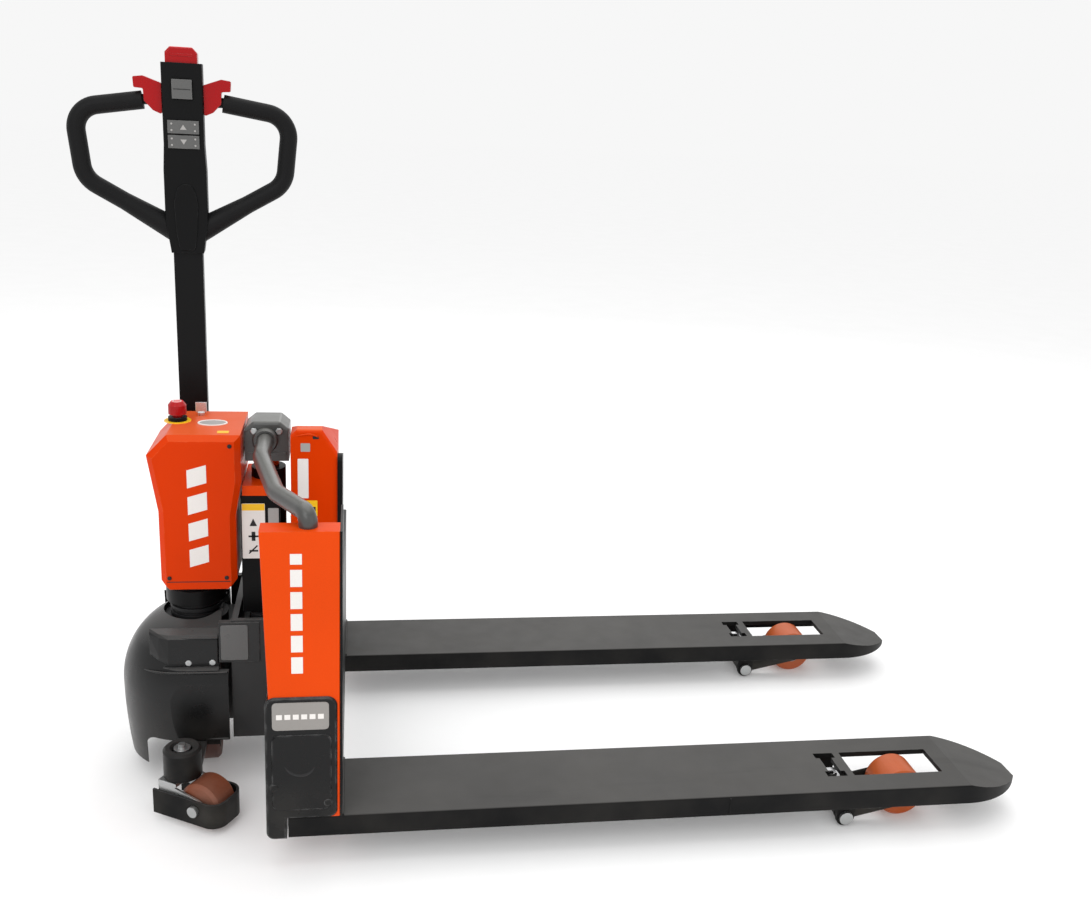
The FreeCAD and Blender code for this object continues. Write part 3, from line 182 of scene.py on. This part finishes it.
def make_material(name, colour, rough=0.4, metal=0.0, tint=0.08, grain=500, depth=0.1,
                  edge_wear_and_highlight=None, edge_wear_and_highlight_amount=0.5, rounding=0.0012, coat=0.0, dust=0.0,
                  stretch=(1, 1, 1), scuffs=0.0, specular=0.3, top=None):
    """One finish: broad colour drift, fine grain in bump and roughness, lighter edges that are
    partly wear and partly painted highlight, a painted lighter top on upward faces, and dust.
    """
    material = bpy.data.materials.new(name)
    material.use_nodes = True
    tree = material.node_tree
    shader = tree.nodes["Principled BSDF"]
    shader.inputs["Metallic"].default_value = metal
    shader.inputs["Coat Weight"].default_value = coat
    shader.inputs["Coat Roughness"].default_value = 0.12
    shader.inputs["Specular IOR Level"].default_value = specular
    coord = tree.nodes.new("ShaderNodeTexCoord").outputs["Object"]
    broad = ranged(tree, noise(tree, coord, 5.5, 4), 0.3, 0.7)
    fine = noise(tree, coord, grain, 3, stretch)
    colour_now = mixed(tree, broad, shade(colour, 1 - tint), shade(colour, 1 + tint))
    speck = maths(tree, "MULTIPLY", ranged(tree, fine, 0.35, 0.65), 0.35)
    colour_now = mixed(tree, speck, colour_now, shade(colour, 1 + tint * 1.6))
    rough_now = ranged(tree, noise(tree, coord, 28, 5), 0.25, 0.75, rough - 0.06, rough + 0.07)
    geometry = tree.nodes.new("ShaderNodeNewGeometry")
    # Painted light: upward faces are blended towards the lighter top colour, as if lit from above,
    # with noise breaking it up.
    if top:
        facing = tree.nodes.new("ShaderNodeSeparateXYZ")
        tree.links.new(geometry.outputs["Normal"], facing.inputs[0])
        upward = ranged(tree, facing.outputs["Z"], 0.55, 0.97)
        cloud = ranged(tree, noise(tree, coord, 3.2, 6), 0.25, 0.75, 0.72, 1.0)
        painted_top_light = maths(tree, "MULTIPLY", upward, cloud)
        colour_now = mixed(tree, painted_top_light, colour_now, tuple(top) + (1,))
    if scuffs:
        lines = noise(tree, coord, 16, 6, (0.12, 1.3, 1.3))
        marks = maths(tree, "MULTIPLY", ranged(tree, lines, 0.62, 0.7), scuffs)
        colour_now = mixed(tree, marks, colour_now, shade(colour, 2.1))
    if dust:
        split = tree.nodes.new("ShaderNodeSeparateXYZ")
        tree.links.new(coord, split.inputs[0])
        low = ranged(tree, split.outputs["Z"], 0.0, 0.16, 1.0, 0.0)
        patch = ranged(tree, noise(tree, coord, 11, 6), 0.38, 0.72)
        settled = maths(tree, "MULTIPLY", maths(tree, "MULTIPLY", low, patch), dust)
        colour_now = mixed(tree, settled, colour_now, (0.30, 0.27, 0.23, 1))
        rough_now = maths(tree, "ADD", rough_now, maths(tree, "MULTIPLY", settled, 0.4))
    bump = tree.nodes.new("ShaderNodeBump")
    bump.inputs["Strength"].default_value = depth
    bump.inputs["Distance"].default_value = 0.0006
    tree.links.new(fine, bump.inputs["Height"])
    if rounding:
        bevel = tree.nodes.new("ShaderNodeBevel")
        bevel.samples = 4
        bevel.inputs["Radius"].default_value = rounding
        tree.links.new(bevel.outputs[0], bump.inputs["Normal"])
        # Lighter edges: partly wear, partly a painted highlight along the rounded edges.
        if edge_wear_and_highlight:
            near = tree.nodes.new("ShaderNodeVectorMath")
            near.operation = "DOT_PRODUCT"
            tree.links.new(bevel.outputs[0], near.inputs[0])
            tree.links.new(geometry.outputs["Normal"], near.inputs[1])
            edge = ranged(tree, near.outputs["Value"], 0.97, 0.80)
            ragged = ranged(tree, noise(tree, coord, 60, 5), 0.42, 0.62)
            mask = maths(tree, "MULTIPLY", maths(tree, "MULTIPLY", edge, ragged), edge_wear_and_highlight_amount)
            colour_now = mixed(tree, mask, colour_now, tuple(edge_wear_and_highlight) + (1,))
    tree.links.new(colour_now, shader.inputs["Base Color"])
    tree.links.new(rough_now, shader.inputs["Roughness"])
    tree.links.new(bump.outputs[0], shader.inputs["Normal"])
    return material


# One finish for each material slot of the frame. Where a finish has a top colour, upward faces get
# painted light: lighter, as if lit from above.
FINISHES = {
    "orange_paint": dict(colour=(0.70, 0.058, 0.001), rough=0.36, grain=420, depth=0.06,
                         edge_wear_and_highlight=(0.95, 0.30, 0.12), edge_wear_and_highlight_amount=0.6, coat=0.02, dust=0.2,
                         specular=0.08, tint=0.05),
    "fork_paint": dict(colour=(0.0042, 0.0042, 0.0044), rough=0.46, grain=260, depth=0.16,
                       edge_wear_and_highlight=(0.26, 0.26, 0.25), edge_wear_and_highlight_amount=0.7, dust=0.06, scuffs=0.10,
                       tint=0.14, top=(0.078, 0.076, 0.073), specular=0.12),
    "black_paint": dict(colour=(0.0045, 0.0045, 0.0048), rough=0.36, specular=0.12,
                        grain=400, depth=0.06, edge_wear_and_highlight=(0.16, 0.16, 0.16), edge_wear_and_highlight_amount=0.4,
                        dust=0.2, top=(0.03, 0.03, 0.03)),
    "frame_grey": dict(colour=(0.022, 0.0222, 0.0224), rough=0.40, grain=300, depth=0.1,
                       edge_wear_and_highlight=(0.34, 0.34, 0.33), edge_wear_and_highlight_amount=0.6, dust=0.25, specular=0.3,
                       top=(0.08, 0.08, 0.078)),
    "cast_grey": dict(colour=(0.044, 0.045, 0.043), rough=0.34, grain=140, depth=0.34,
                      edge_wear_and_highlight=(0.40, 0.40, 0.38), edge_wear_and_highlight_amount=0.6, coat=0.2, specular=0.5,
                      top=(0.13, 0.13, 0.12)),
    "dark_plastic": dict(colour=(0.0045, 0.0046, 0.0048), rough=0.42, grain=900, depth=0.2,
                         edge_wear_and_highlight=(0.12, 0.12, 0.125), edge_wear_and_highlight_amount=0.6, dust=0.12,
                         top=(0.030, 0.030, 0.031), specular=0.10),
    "orange_plastic": dict(colour=(0.62, 0.038, 0.0005), rough=0.32, grain=700, depth=0.04,
                           edge_wear_and_highlight=(1.0, 0.34, 0.14), edge_wear_and_highlight_amount=0.7, coat=0.02,
                           specular=0.05, tint=0.05, top=(0.68, 0.11, 0.03)),
    # The red cap's much lighter top colour is a painted highlight.
    "red_plastic": dict(colour=(0.33, 0.0015, 0.0030), rough=0.24, grain=700, depth=0.04,
                        edge_wear_and_highlight=(0.95, 0.22, 0.22), edge_wear_and_highlight_amount=0.5, coat=0.08, specular=0.2,
                        top=(0.78, 0.07, 0.08)),
    "grey_plastic": dict(colour=(0.100, 0.100, 0.098), rough=0.5, grain=700, depth=0.2,
                         edge_wear_and_highlight=(0.42, 0.42, 0.42), edge_wear_and_highlight_amount=0.6),
    "grip_rubber": dict(colour=(0.0045, 0.0045, 0.0048), rough=0.52, grain=650, depth=0.45,
                        edge_wear_and_highlight=None, tint=0.18, specular=0.15),
    "roller_pu": dict(colour=(0.44, 0.078, 0.010), rough=0.42, grain=220, depth=0.12,
                      edge_wear_and_highlight=(0.55, 0.24, 0.10), edge_wear_and_highlight_amount=0.4, dust=0.15, coat=0.08,
                      specular=0.3),
    "tyre_pu": dict(colour=(0.075, 0.020, 0.012), rough=0.55, grain=220, depth=0.2,
                    edge_wear_and_highlight=(0.22, 0.10, 0.06), edge_wear_and_highlight_amount=0.4, dust=0.3),
    "zinc": dict(colour=(0.42, 0.43, 0.43), rough=0.34, metal=0.9, grain=60, depth=0.12,
                 edge_wear_and_highlight=(0.80, 0.80, 0.81), edge_wear_and_highlight_amount=0.5, dust=0.2, tint=0.12),
    "steel": dict(colour=(0.60, 0.60, 0.61), rough=0.24, metal=1.0, grain=90, depth=0.1,
                  stretch=(1, 1, 0.06), edge_wear_and_highlight=None),
    "motor_black": dict(colour=(0.011, 0.011, 0.012), rough=0.5, grain=180, depth=0.3,
                        edge_wear_and_highlight=(0.12, 0.12, 0.12), edge_wear_and_highlight_amount=0.4, dust=0.25),
}
# Finishes for single nodes and for the pieces added here; their top colours are painted light on
# upward faces too.
EXTRA = {
    # The ridge's light top colour is a painted highlight on its upper side.
    "ridge_plastic": dict(colour=(0.012, 0.012, 0.013), rough=0.3, tint=0.1, depth=0.1,
                          top=(0.19, 0.19, 0.19), rounding=0, specular=0.3),
    # The heel cover's lighter edges are partly wear and partly a painted highlight; its lighter
    # top is painted light.
    "cover_plastic": dict(colour=(0.0045, 0.0046, 0.0048), rough=0.27, grain=900, depth=0.12,
                          edge_wear_and_highlight=(0.22, 0.22, 0.22), edge_wear_and_highlight_amount=0.7, dust=0.12,
                          top=(0.12, 0.12, 0.12), specular=0.22, rounding=0.0045),
    "boss_grey": dict(colour=(0.10, 0.10, 0.098), rough=0.3, grain=300, depth=0.1,
                      edge_wear_and_highlight=(0.4, 0.4, 0.4), edge_wear_and_highlight_amount=0.6, dust=0.2, specular=0.4),
    "fender_plastic": dict(colour=(0.0050, 0.0051, 0.0053), rough=0.30, grain=900, depth=0.15,
                           edge_wear_and_highlight=(0.20, 0.20, 0.20), edge_wear_and_highlight_amount=0.6, dust=0.16,
                           top=(0.095, 0.094, 0.092), specular=0.30),
    "caster_pu": dict(colour=(0.20, 0.055, 0.024), rough=0.46, grain=220, depth=0.16,
                      edge_wear_and_highlight=(0.34, 0.16, 0.09), edge_wear_and_highlight_amount=0.4, dust=0.35, specular=0.25),
    "panel_grey": dict(colour=(0.27, 0.255, 0.24), rough=0.42, tint=0.06, rounding=0),
    "print_white": dict(colour=(0.76, 0.73, 0.70), rough=0.42, tint=0.05, rounding=0),
    "print_grey": dict(colour=(0.34, 0.33, 0.32), rough=0.5, tint=0.07, rounding=0),
    "print_yellow": dict(colour=(0.86, 0.50, 0.012), rough=0.4, tint=0.06, rounding=0),
    "print_black": dict(colour=(0.014, 0.014, 0.014), rough=0.45, tint=0.2, rounding=0),
}
MATERIALS = {name: make_material(name, **finish)
             for name, finish in list(FINISHES.items()) + list(EXTRA.items())}
NODE_FINISHES = {"drive_fender": "fender_plastic", "caster_wheel_right": "caster_pu",
                 "caster_wheel_left": "caster_pu", "heel_cover_right": "cover_plastic",
                 "heel_cover_left": "cover_plastic"}


def finish_nodes():
    """Give every CAD node the finish of its material slot, or its own where it differs."""
    for part in frame["record"]["subparts"]:
        node = frame["nodes"][part["node"]]
        material = MATERIALS[NODE_FINISHES.get(part["node"], part["material_slot"])]
        if not node.material_slots:
            node.data.materials.append(material)
        for slot in node.material_slots:
            slot.material = material


# ---------------------------------------------------------------- piece making

def add_piece(name, form, body, material):
    """Turn a bmesh into a piece that rides on a body."""
    bmesh.ops.recalc_face_normals(form, faces=form.faces)
    mesh = bpy.data.meshes.new(name)
    form.to_mesh(mesh)
    form.free()
    piece = bpy.data.objects.new(name, mesh)
    bpy.context.scene.collection.objects.link(piece)
    mesh.materials.append(MATERIALS[material])
    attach(piece, body)
    return piece


def stitch(form, low, high):
    """Faces between two rings with the same number of corners."""
    for index in range(len(low)):
        after = (index + 1) % len(low)
        form.faces.new((low[index], low[after], high[after], high[index]))


def stand_up(x, y, z, body_top):
    """A point in millimetres from the steering axis, raised onto the top of a node."""
    return steer_spot(x, y, z) + Vector((0, 0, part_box(body_top)[1].z))


def flank_shape(points, sign):
    """Points on a side face, turned for the far side, in metres."""
    return [Vector((x if sign < 0 else -x, z)) * MM for x, z in points]


def flank_way(sign):
    """The direction that runs to the right across a side face seen from outside."""
    return (1, 0, 0) if sign < 0 else (-1, 0, 0)


def round_corners(corners, radius, steps=5):
    """An outline with its corners rounded, as flat (u, v) points."""
    points = []
    count = len(corners)
    for index, corner in enumerate(corners):
        here = Vector(corner)
        back = Vector(corners[index - 1]) - here
        ahead = Vector(corners[(index + 1) % count]) - here
        reach = min(radius, back.length * 0.49, ahead.length * 0.49)
        start, end = here + back.normalized() * reach, here + ahead.normalized() * reach
        for step in range(steps + 1):
            t = step / steps
            points.append(start * (1 - t) ** 2 + here * 2 * t * (1 - t) + end * t ** 2)
    return points


def slab(form, outline, origin, along, across, rise, lift=0.0, edge=0.0):
    """A thin raised panel: its outline lies in a plane and its edge may be bevelled."""
    along, across = Vector(along).normalized(), Vector(across).normalized()
    out = along.cross(across)
    base = Vector(origin)
    rings = [(0.0, lift), (0.0, lift + rise - edge), (edge, lift + rise)]
    if edge == 0:
        rings = rings[:1] + rings[2:]
    middle = sum((Vector(p) for p in outline), Vector((0, 0))) / len(outline)
    loops = []
    for inset, height in rings:
        loop = []
        for point in outline:
            point = Vector(point)
            pull = middle - point
            point = point + pull.normalized() * inset if pull.length > 0 else point
            loop.append(form.verts.new(base + along * point.x + across * point.y + out * height))
        loops.append(loop)
    for low, high in zip(loops, loops[1:]):
        stitch(form, low, high)
    form.faces.new(list(reversed(loops[0])))
    form.faces.new(loops[-1])


def block_outline(x0, x1, y0, y1):
    """The four corners of a rectangle."""
    return [(x0, y0), (x1, y0), (x1, y1), (x0, y1)]


def rounded_block(x0, x1, y0, y1, radius):
    """A rectangle with rounded corners."""
    return round_corners([Vector(point) for point in block_outline(x0, x1, y0, y1)], radius)


def lathe(form, profile, centre, axis, steps=40):
    """A ring or knob turned about an axis from (radius, height) points in metres."""
    turn = Vector((0, 0, 1)).rotation_difference(Vector(axis)).to_matrix()
    rings = []
    for radius, height in profile:
        ring = []
        for step in range(steps):
            angle = 2 * math.pi * step / steps
            spot = Vector((radius * math.cos(angle), radius * math.sin(angle), height))
            ring.append(form.verts.new(Vector(centre) + turn @ spot))
        rings.append(ring)
    for low, high in zip(rings, rings[1:] + rings[:1]):
        stitch(form, low, high)


def lathe_oval(form, centre, long, short, thick, steps=48):
    """A raised oval band lying flat."""
    rings = []
    for scale, height in ((1.0, 0), (1.0, thick * 0.5), (0.97, thick), (0.90, thick),
                          (0.87, thick * 0.5), (0.87, 0)):
        ring = []
        for step in range(steps):
            angle = 2 * math.pi * step / steps
            ring.append(form.verts.new(centre + Vector((math.cos(angle) * long * scale,
                                                        math.sin(angle) * short * scale,
                                                        height))))
        rings.append(ring)
    for low, high in zip(rings, rings[1:] + rings[:1]):
        stitch(form, low, high)


def strand(name, points, radius, body, material, taper=None):
    """A rounded bead or rib along a smooth line, made into a mesh tube."""
    curve = bpy.data.curves.new(name, "CURVE")
    curve.dimensions = "3D"
    curve.bevel_depth = radius
    curve.bevel_resolution = 3
    curve.use_fill_caps = True
    spline = curve.splines.new("NURBS")
    spline.points.add(len(points) - 1)
    for point, spot in zip(spline.points, points):
        point.co = (*spot, 1)
    if taper:
        for point, size in zip(spline.points, taper):
            point.radius = size
    spline.order_u = 3
    spline.use_endpoint_u = True
    maker = bpy.data.objects.new(name + "_maker", curve)
    bpy.context.scene.collection.objects.link(maker)
    bpy.context.view_layer.update()
    graph = bpy.context.evaluated_depsgraph_get()
    mesh = bpy.data.meshes.new_from_object(maker.evaluated_get(graph))
    bpy.data.objects.remove(maker)
    mesh.name = name
    mesh.materials.clear()
    mesh.materials.append(MATERIALS[material])
    for face in mesh.polygons:
        face.use_smooth = True
    piece = bpy.data.objects.new(name, mesh)
    bpy.context.scene.collection.objects.link(piece)
    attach(piece, body)
    return piece


def steer_spot(x, y, z):
    """A point given in millimetres from the steering axis."""
    return Vector((STEER_X + x * MM, y * MM, z * MM))


def heel_spot(x, y, z):
    """A point given in millimetres from the fork heel."""
    return Vector((HEEL_X + x * MM, y * MM, z * MM))


def head_spot(x, y, z):
    """A point given in millimetres in the turned steering head."""
    turned = Matrix.Rotation(HEAD_TURN, 3, "Z") @ Vector((x * MM, y * MM, z * MM))
    return turned + Vector((STEER_X, 0, 0))


def head_way(x, y, z):
    """A direction in the turned steering head."""
    return Matrix.Rotation(HEAD_TURN, 3, "Z") @ Vector((x, y, z))


def near_panel(name, spot, shapes, body, material, rise=0.35, lift=0.05, edge=0.0):
    """Flat shapes in millimetres on a face that looks to the near side (-Y)."""
    form = bmesh.new()
    for shape in shapes:
        outline = [Vector(point) * MM for point in shape]
        slab(form, outline, spot, (1, 0, 0), (0, 0, 1), rise * MM, lift * MM, edge * MM)
    return add_piece(name, form, body, material)


# ---------------------------------------------------------------- details on the fixed frame

def slanted_bars(count, wide, tall, gap, slant):
    """A column of slanted bars, used where a cover carries printing."""
    bars = []
    for index in range(count):
        low = index * (tall + gap)
        bars.append([(-wide / 2, low), (wide / 2, low + slant), (wide / 2, low + tall + slant),
                     (-wide / 2, low + tall)])
    return bars


def dress_power_cover():
    """Plain bars, a bottom seam, screws and the gauge and mark on top of the power cover."""
    body, slot = "drive_frame", "orange_plastic"
    near_panel("power_cover_bars", steer_spot(18, POWER_FACE, 385), slanted_bars(4, 30, 30, 15, 9),
               body, "print_white")
    near_panel("power_cover_seam", steer_spot(0, POWER_FACE, 0),
               [block_outline(-34, 66, 358.6, 359.8)], body, "print_black")
    form = bmesh.new()
    for x, z in ((60, 366), (-30, 366), (70, 590)):
        lathe(form, [(0.0001, 0), (0.0034, 0), (0.0034, 0.0012), (0.0024, 0.0018),
                     (0.0001, 0.0018)], steer_spot(x, POWER_FACE, z), (0, -1, 0), 24)
    add_piece("power_cover_screws", form, body, "motor_black")
    gauge = stand_up(36, -2, 0, "power_cover")
    form = bmesh.new()
    lathe_oval(form, gauge, 0.024, 0.017, 0.0016)
    add_piece("power_cover_gauge_rim", form, body, "print_white")
    form = bmesh.new()
    corners = 24
    turns = [step / corners * 2 * math.pi for step in range(corners)]
    outline = [Vector((math.cos(turn) * 0.021, math.sin(turn) * 0.014)) for turn in turns]
    slab(form, outline, gauge, (1, 0, 0), (0, 1, 0), 0.0006)
    add_piece("power_cover_gauge", form, body, "print_grey")
    form = bmesh.new()
    slab(form, round_corners([Vector(p) * MM for p in block_outline(-9, 9, -6, 6)], 0.002),
         stand_up(58, -55, 0, "power_cover"), (1, 0, 0), (0, 1, 0), 0.0005)
    add_piece("power_cover_warning", form, body, "print_yellow")


def dress_column():
    """A pale notice with plain marks on the column, and a smaller plate beside it."""
    spot = steer_spot(0, COLUMN_FACE, 0)
    near_panel("column_notice", spot,
               [rounded_block(84, 121, 390, 486, 2)],
               "drive_frame", "print_white")
    near_panel("column_notice_head", spot, [block_outline(84.5, 120.5, 474, 485.5)],
               "drive_frame", "print_yellow", rise=0.5)
    marks = [[(96, 447), (108, 447), (102, 460)], block_outline(99, 105, 421, 437),
             block_outline(94, 110, 427.5, 430.5), block_outline(95, 109, 402, 405),
             [(95, 398), (109, 412), (107, 413.5), (93.5, 399.5)]]
    near_panel("column_notice_marks", spot, marks, "drive_frame", "print_black",
               rise=0.6)
    near_panel("column_plate", spot,
               [rounded_block(126, 143, 440, 478, 1.5)],
               "drive_frame", "print_grey")


def dress_fender():
    """The fender's moulded shoulders and lips, and the plate on the chassis beside each."""
    body, slot = "drive_frame", "dark_plastic"
    # Along the shoulder: each section's place, and how far it stands out from the shell.
    sections = ((-66, 0.25), (-50, 0.7), (-34, 1.0), (10, 1.0), (44, 1.0), (45.5, 0.96))
    root, crest = 78, 276
    section = ((root, crest), (95, 271), (101, 266), (106.5, 232), (106.5, 224), (98, 220))
    lips = (("ledge", [(-78, 84, 206), (-56, 110, 212.5), (-20, 119.4, 213.4),
                       (60, 119.4, 213.4)]),
            ("brow", [(-70, 62, 246), (-52, 86, 262), (-32, 99, 266.5), (44, 101, 266.5)]),
            ("foot", [(-74, 92, 96), (-20, 119.4, 92), (60, 119.4, 91.6)]))
    for sign, side in SIDES:
        form = bmesh.new()
        rings = []
        for x, size in sections:
            ring = []
            for y, z in section:
                out = root + (y - root) * size
                height = crest - (crest - z) * (0.75 + 0.25 * size)
                ring.append(form.verts.new(steer_spot(x, sign * out, height)))
            rings.append(ring)
        for low, high in zip(rings, rings[1:]):
            stitch(form, low, high)
        form.faces.new(rings[0])
        form.faces.new(list(reversed(rings[-1])))
        add_piece("fender_shoulder_" + side, form, body, "fender_plastic")
        for name, route in lips:
            points = [steer_spot(x, sign * y, z) for x, y, z in route]
            strand(f"fender_{name}_{side}", points, 0.0021, body, "fender_plastic",
                   taper=[0.2] + [1] * (len(route) - 1))
        form = bmesh.new()
        outline = flank_shape(block_outline(50, 94, 229, 292), sign)
        slab(form, round_corners(outline, 0.004), steer_spot(0, sign * BOSS_FACE, 0),
             flank_way(sign), (0, 0, 1), 0.0015, 0, 0.0008)
        add_piece("chassis_boss_" + side, form, body, "boss_grey")


# ---------------------------------------------------------------- details on the fork frame

def dress_upright():
    """A column of plain bars where the upright carries printing, and weld beads at its foot."""
    left, right = -69.5, -53
    bars = [block_outline(left, right, low, low + 26) for low in (326, 360, 394, 428, 462)]
    bars.append(block_outline(left, right, 496, 512))
    near_panel("upright_bars", heel_spot(0, UPRIGHT_FACE, 0), bars, "fork_frame",
               "print_white")
    for sign, side in SIDES:
        points = [heel_spot(3.6, sign * (342 - step * 17.5), 85.6 + 0.5 * (step % 2))
                  for step in range(10)]
        strand("heel_weld_" + side, points, 0.0024, "fork_frame", "fork_paint")


def dress_heel_covers():
    """A grey panel with plain bars, a raised lobe and a curved ridge on each heel cover."""
    body, slot = "fork_frame", "dark_plastic"
    ridge = [(-84, 206), (-85, 184), (-76, 166), (-58, 158), (-42, 164), (-33, 182), (-32, 208)]
    for sign, side in SIDES:
        face = HEEL_COVER_FACE * sign
        spot = heel_spot(0, face, 0)
        along = flank_way(sign)
        outline = round_corners(flank_shape(block_outline(-98, -16, 236, 281), sign), 0.007)
        form = bmesh.new()
        slab(form, outline, spot, along, (0, 0, 1), 0.0012, 0, 0.0005)
        add_piece("heel_panel_" + side, form, body, "panel_grey")
        form = bmesh.new()
        for index in range(6):
            low = -92 + index * 12
            slab(form, flank_shape(block_outline(low, low + 8.5, 254, 262), sign), spot, along,
                 (0, 0, 1), 0.0004, 0.0011)
        add_piece("heel_panel_bars_" + side, form, body, "print_white")
        strand("heel_ridge_" + side, [heel_spot(x, face - sign * 1.6, z) for x, z in ridge],
               0.0034, body, "ridge_plastic", taper=[0.2, 0.7, 1, 1, 1, 0.7, 0.2])
        form = bmesh.new()
        lobe = round_corners(flank_shape(block_outline(-100, -12, 100, 228), sign), 0.014)
        slab(form, lobe, spot, along, (0, 0, 1), 0.0012, 0, 0.0012)
        add_piece("heel_lobe_" + side, form, body, "cover_plastic")


def dress_battery():
    """Labels, a black patch for the painted shade of the hand slot, and a rib on the battery case.
    """
    spot = heel_spot(0, BATTERY_FACE, 0)
    slot, body = "orange_plastic", "fork_frame"
    near_panel("battery_label", spot,
               [rounded_block(-71, -54, 501, 568, 1.5)],
               body, "print_white")
    near_panel("battery_plate", spot,
               [rounded_block(-66, -51, 580, 594, 1.5)],
               body, "print_grey")
    near_panel("battery_warning", spot,
               [rounded_block(-72, -40, 470, 497, 1.5)],
               body, "print_yellow")
    near_panel("battery_warning_marks", spot,
               [[(-68, 475), (-56, 475), (-62, 487)], block_outline(-52, -43, 474, 486)],
               body, "print_black", rise=0.55)
    # The hand slot is a flat black patch: painted shade of the recess.
    near_panel("battery_slot_painted_shade", spot,
               [rounded_block(-47, -37, 601, 606, 2)],
               body, "print_black")
    points = [heel_spot(-79, -74.2, 604), heel_spot(-60, -76.0, 609),
              heel_spot(-45, -76.0, 609), heel_spot(-36, -74.6, 603)]
    strand("battery_rib", points, 0.0015, body, "orange_plastic", [0.3, 1, 1, 0.3])


def dress_lift_head():
    """A collar where the conduit leaves the head, a raised band and two cap bolts."""
    form = bmesh.new()
    lathe(form, [(0.0137, 0.0), (0.0205, 0.0), (0.0205, 0.006), (0.018, 0.010), (0.0137, 0.010)],
          steer_spot(122, LIFT_HEAD_FACE, 587), (0, -1, 0))
    add_piece("conduit_collar", form, "fork_frame", "cast_grey")
    near_panel("lift_head_band", steer_spot(0, LIFT_HEAD_FACE, 0),
               [rounded_block(93, 155, 561.5, 566, 1.5)],
               "fork_frame", "cast_grey", rise=1.4, edge=0.5)
    form = bmesh.new()
    for x in (104, 144):
        lathe(form, [(0.0001, 0), (0.006, 0), (0.006, 0.003), (0.0048, 0.004), (0.0001, 0.004)],
              steer_spot(x, LIFT_HEAD_FACE, 602), (0, -1, 0), 6)
    add_piece("lift_head_bolts", form, "fork_frame", "zinc")


def dress_forks():
    """A weld bead where each nose joins its blade."""
    for sign, side in SIDES:
        middle = 262.5 * sign
        points = [heel_spot(618, middle + sign * 79.8, 82 - 5 * step) for step in range(7)]
        strand("blade_weld_" + side, points, 0.0014, "fork_frame", "fork_paint")


# ---------------------------------------------------------------- details on the tiller

def dress_tiller():
    """The arch on the stem, the marks on the buttons and the lip on the belly button."""
    way, up = head_way(1, 0, 0), (0, 0, 1)
    form = bmesh.new()
    arch = [(-12, 872), (12, 872), (17, 905), (19, 950), (13, 974), (0, 981), (-13, 974),
            (-19, 950), (-17, 905)]
    outline = round_corners([Vector(p) * MM for p in arch], 0.006)
    slab(form, outline, head_spot(0, STEM_FACE, 0), way, up, 0.0022, 0, 0.001)
    add_piece("stem_arch", form, "tiller", "dark_plastic")
    for name, low in (("raise", 1058), ("lower", 1035)):
        form = bmesh.new()
        for x in (-18, 18):
            for z in (5, 15):
                lathe(form, [(0.0001, 0), (0.0016, 0), (0.0016, 0.0006), (0.0001, 0.0010)],
                      head_spot(x, ROCKER_FACE, low + z), head_way(0, -1, 0), 16)
        slab(form, [Vector(p) * MM for p in arrow(low + 10.2, name == "raise")],
             head_spot(0, ROCKER_FACE, 0), way, up, 0.0005)
        add_piece(name + "_button_marks", form, name + "_button", "print_grey")
    form = bmesh.new()
    slab(form, [Vector(p) * MM for p in block_outline(-13, 13, 1125.6, 1126.6)],
         head_spot(0, HORN_FACE, 0), way, up, 0.0005)
    add_piece("horn_button_line", form, "horn_button", "print_black")
    form = bmesh.new()
    slab(form, round_corners([Vector(p) * MM for p in block_outline(-17, 17, 1176, 1180)],
                             0.0015), head_spot(0, CAP_FACE, 0), way, up, 0.0007)
    add_piece("reverse_button_lip", form, "reverse_button", "red_plastic")


def arrow(middle, upward):
    """A small triangle that points up or down."""
    tip = 4 if upward else -4
    base = [(-5, middle - tip), (5, middle - tip), (0, middle + tip)]
    return base if upward else list(reversed(base))


def dress_stop_button():
    """A pale ring line round the stop button's head and a yellow disc under it."""
    form = bmesh.new()
    lathe(form, [(0.0060, 0), (0.0072, 0), (0.0070, 0.0003), (0.0062, 0.0003)],
          stand_up(-21, 12, 0, "estop_button"), (0, 0, 1))
    add_piece("estop_button_ring", form, "estop_button", "print_white")
    form = bmesh.new()
    lathe(form, [(0.0151, 0), (0.0215, 0), (0.0213, 0.0010), (0.0151, 0.0010)],
          stand_up(-21, 12, 0, "power_cover"), (0, 0, 1))
    add_piece("estop_disc", form, "drive_frame", "print_yellow")


def dress_rollers():
    """Steel bearing caps on both sides of each load roller."""
    for _, side in SIDES:
        low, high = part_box("load_roller_" + side)
        middle = (low + high) / 2
        form = bmesh.new()
        for way, y in ((-1, low.y), (1, high.y)):
            lathe(form, [(0.0112, 0), (0.021, 0), (0.0205, 0.0008), (0.0112, 0.0008)],
                  (middle.x, y, middle.z), (0, way, 0))
        add_piece("roller_caps_" + side, form, "load_roller_" + side, "zinc")


bpy.context.scene.view_settings.view_transform = "Standard"
add_camera()
add_room()
finish_nodes()
dress_power_cover()
dress_column()
dress_fender()
dress_upright()
dress_heel_covers()
dress_battery()
dress_lift_head()
dress_forks()
dress_tiller()
dress_stop_button()
dress_rollers()
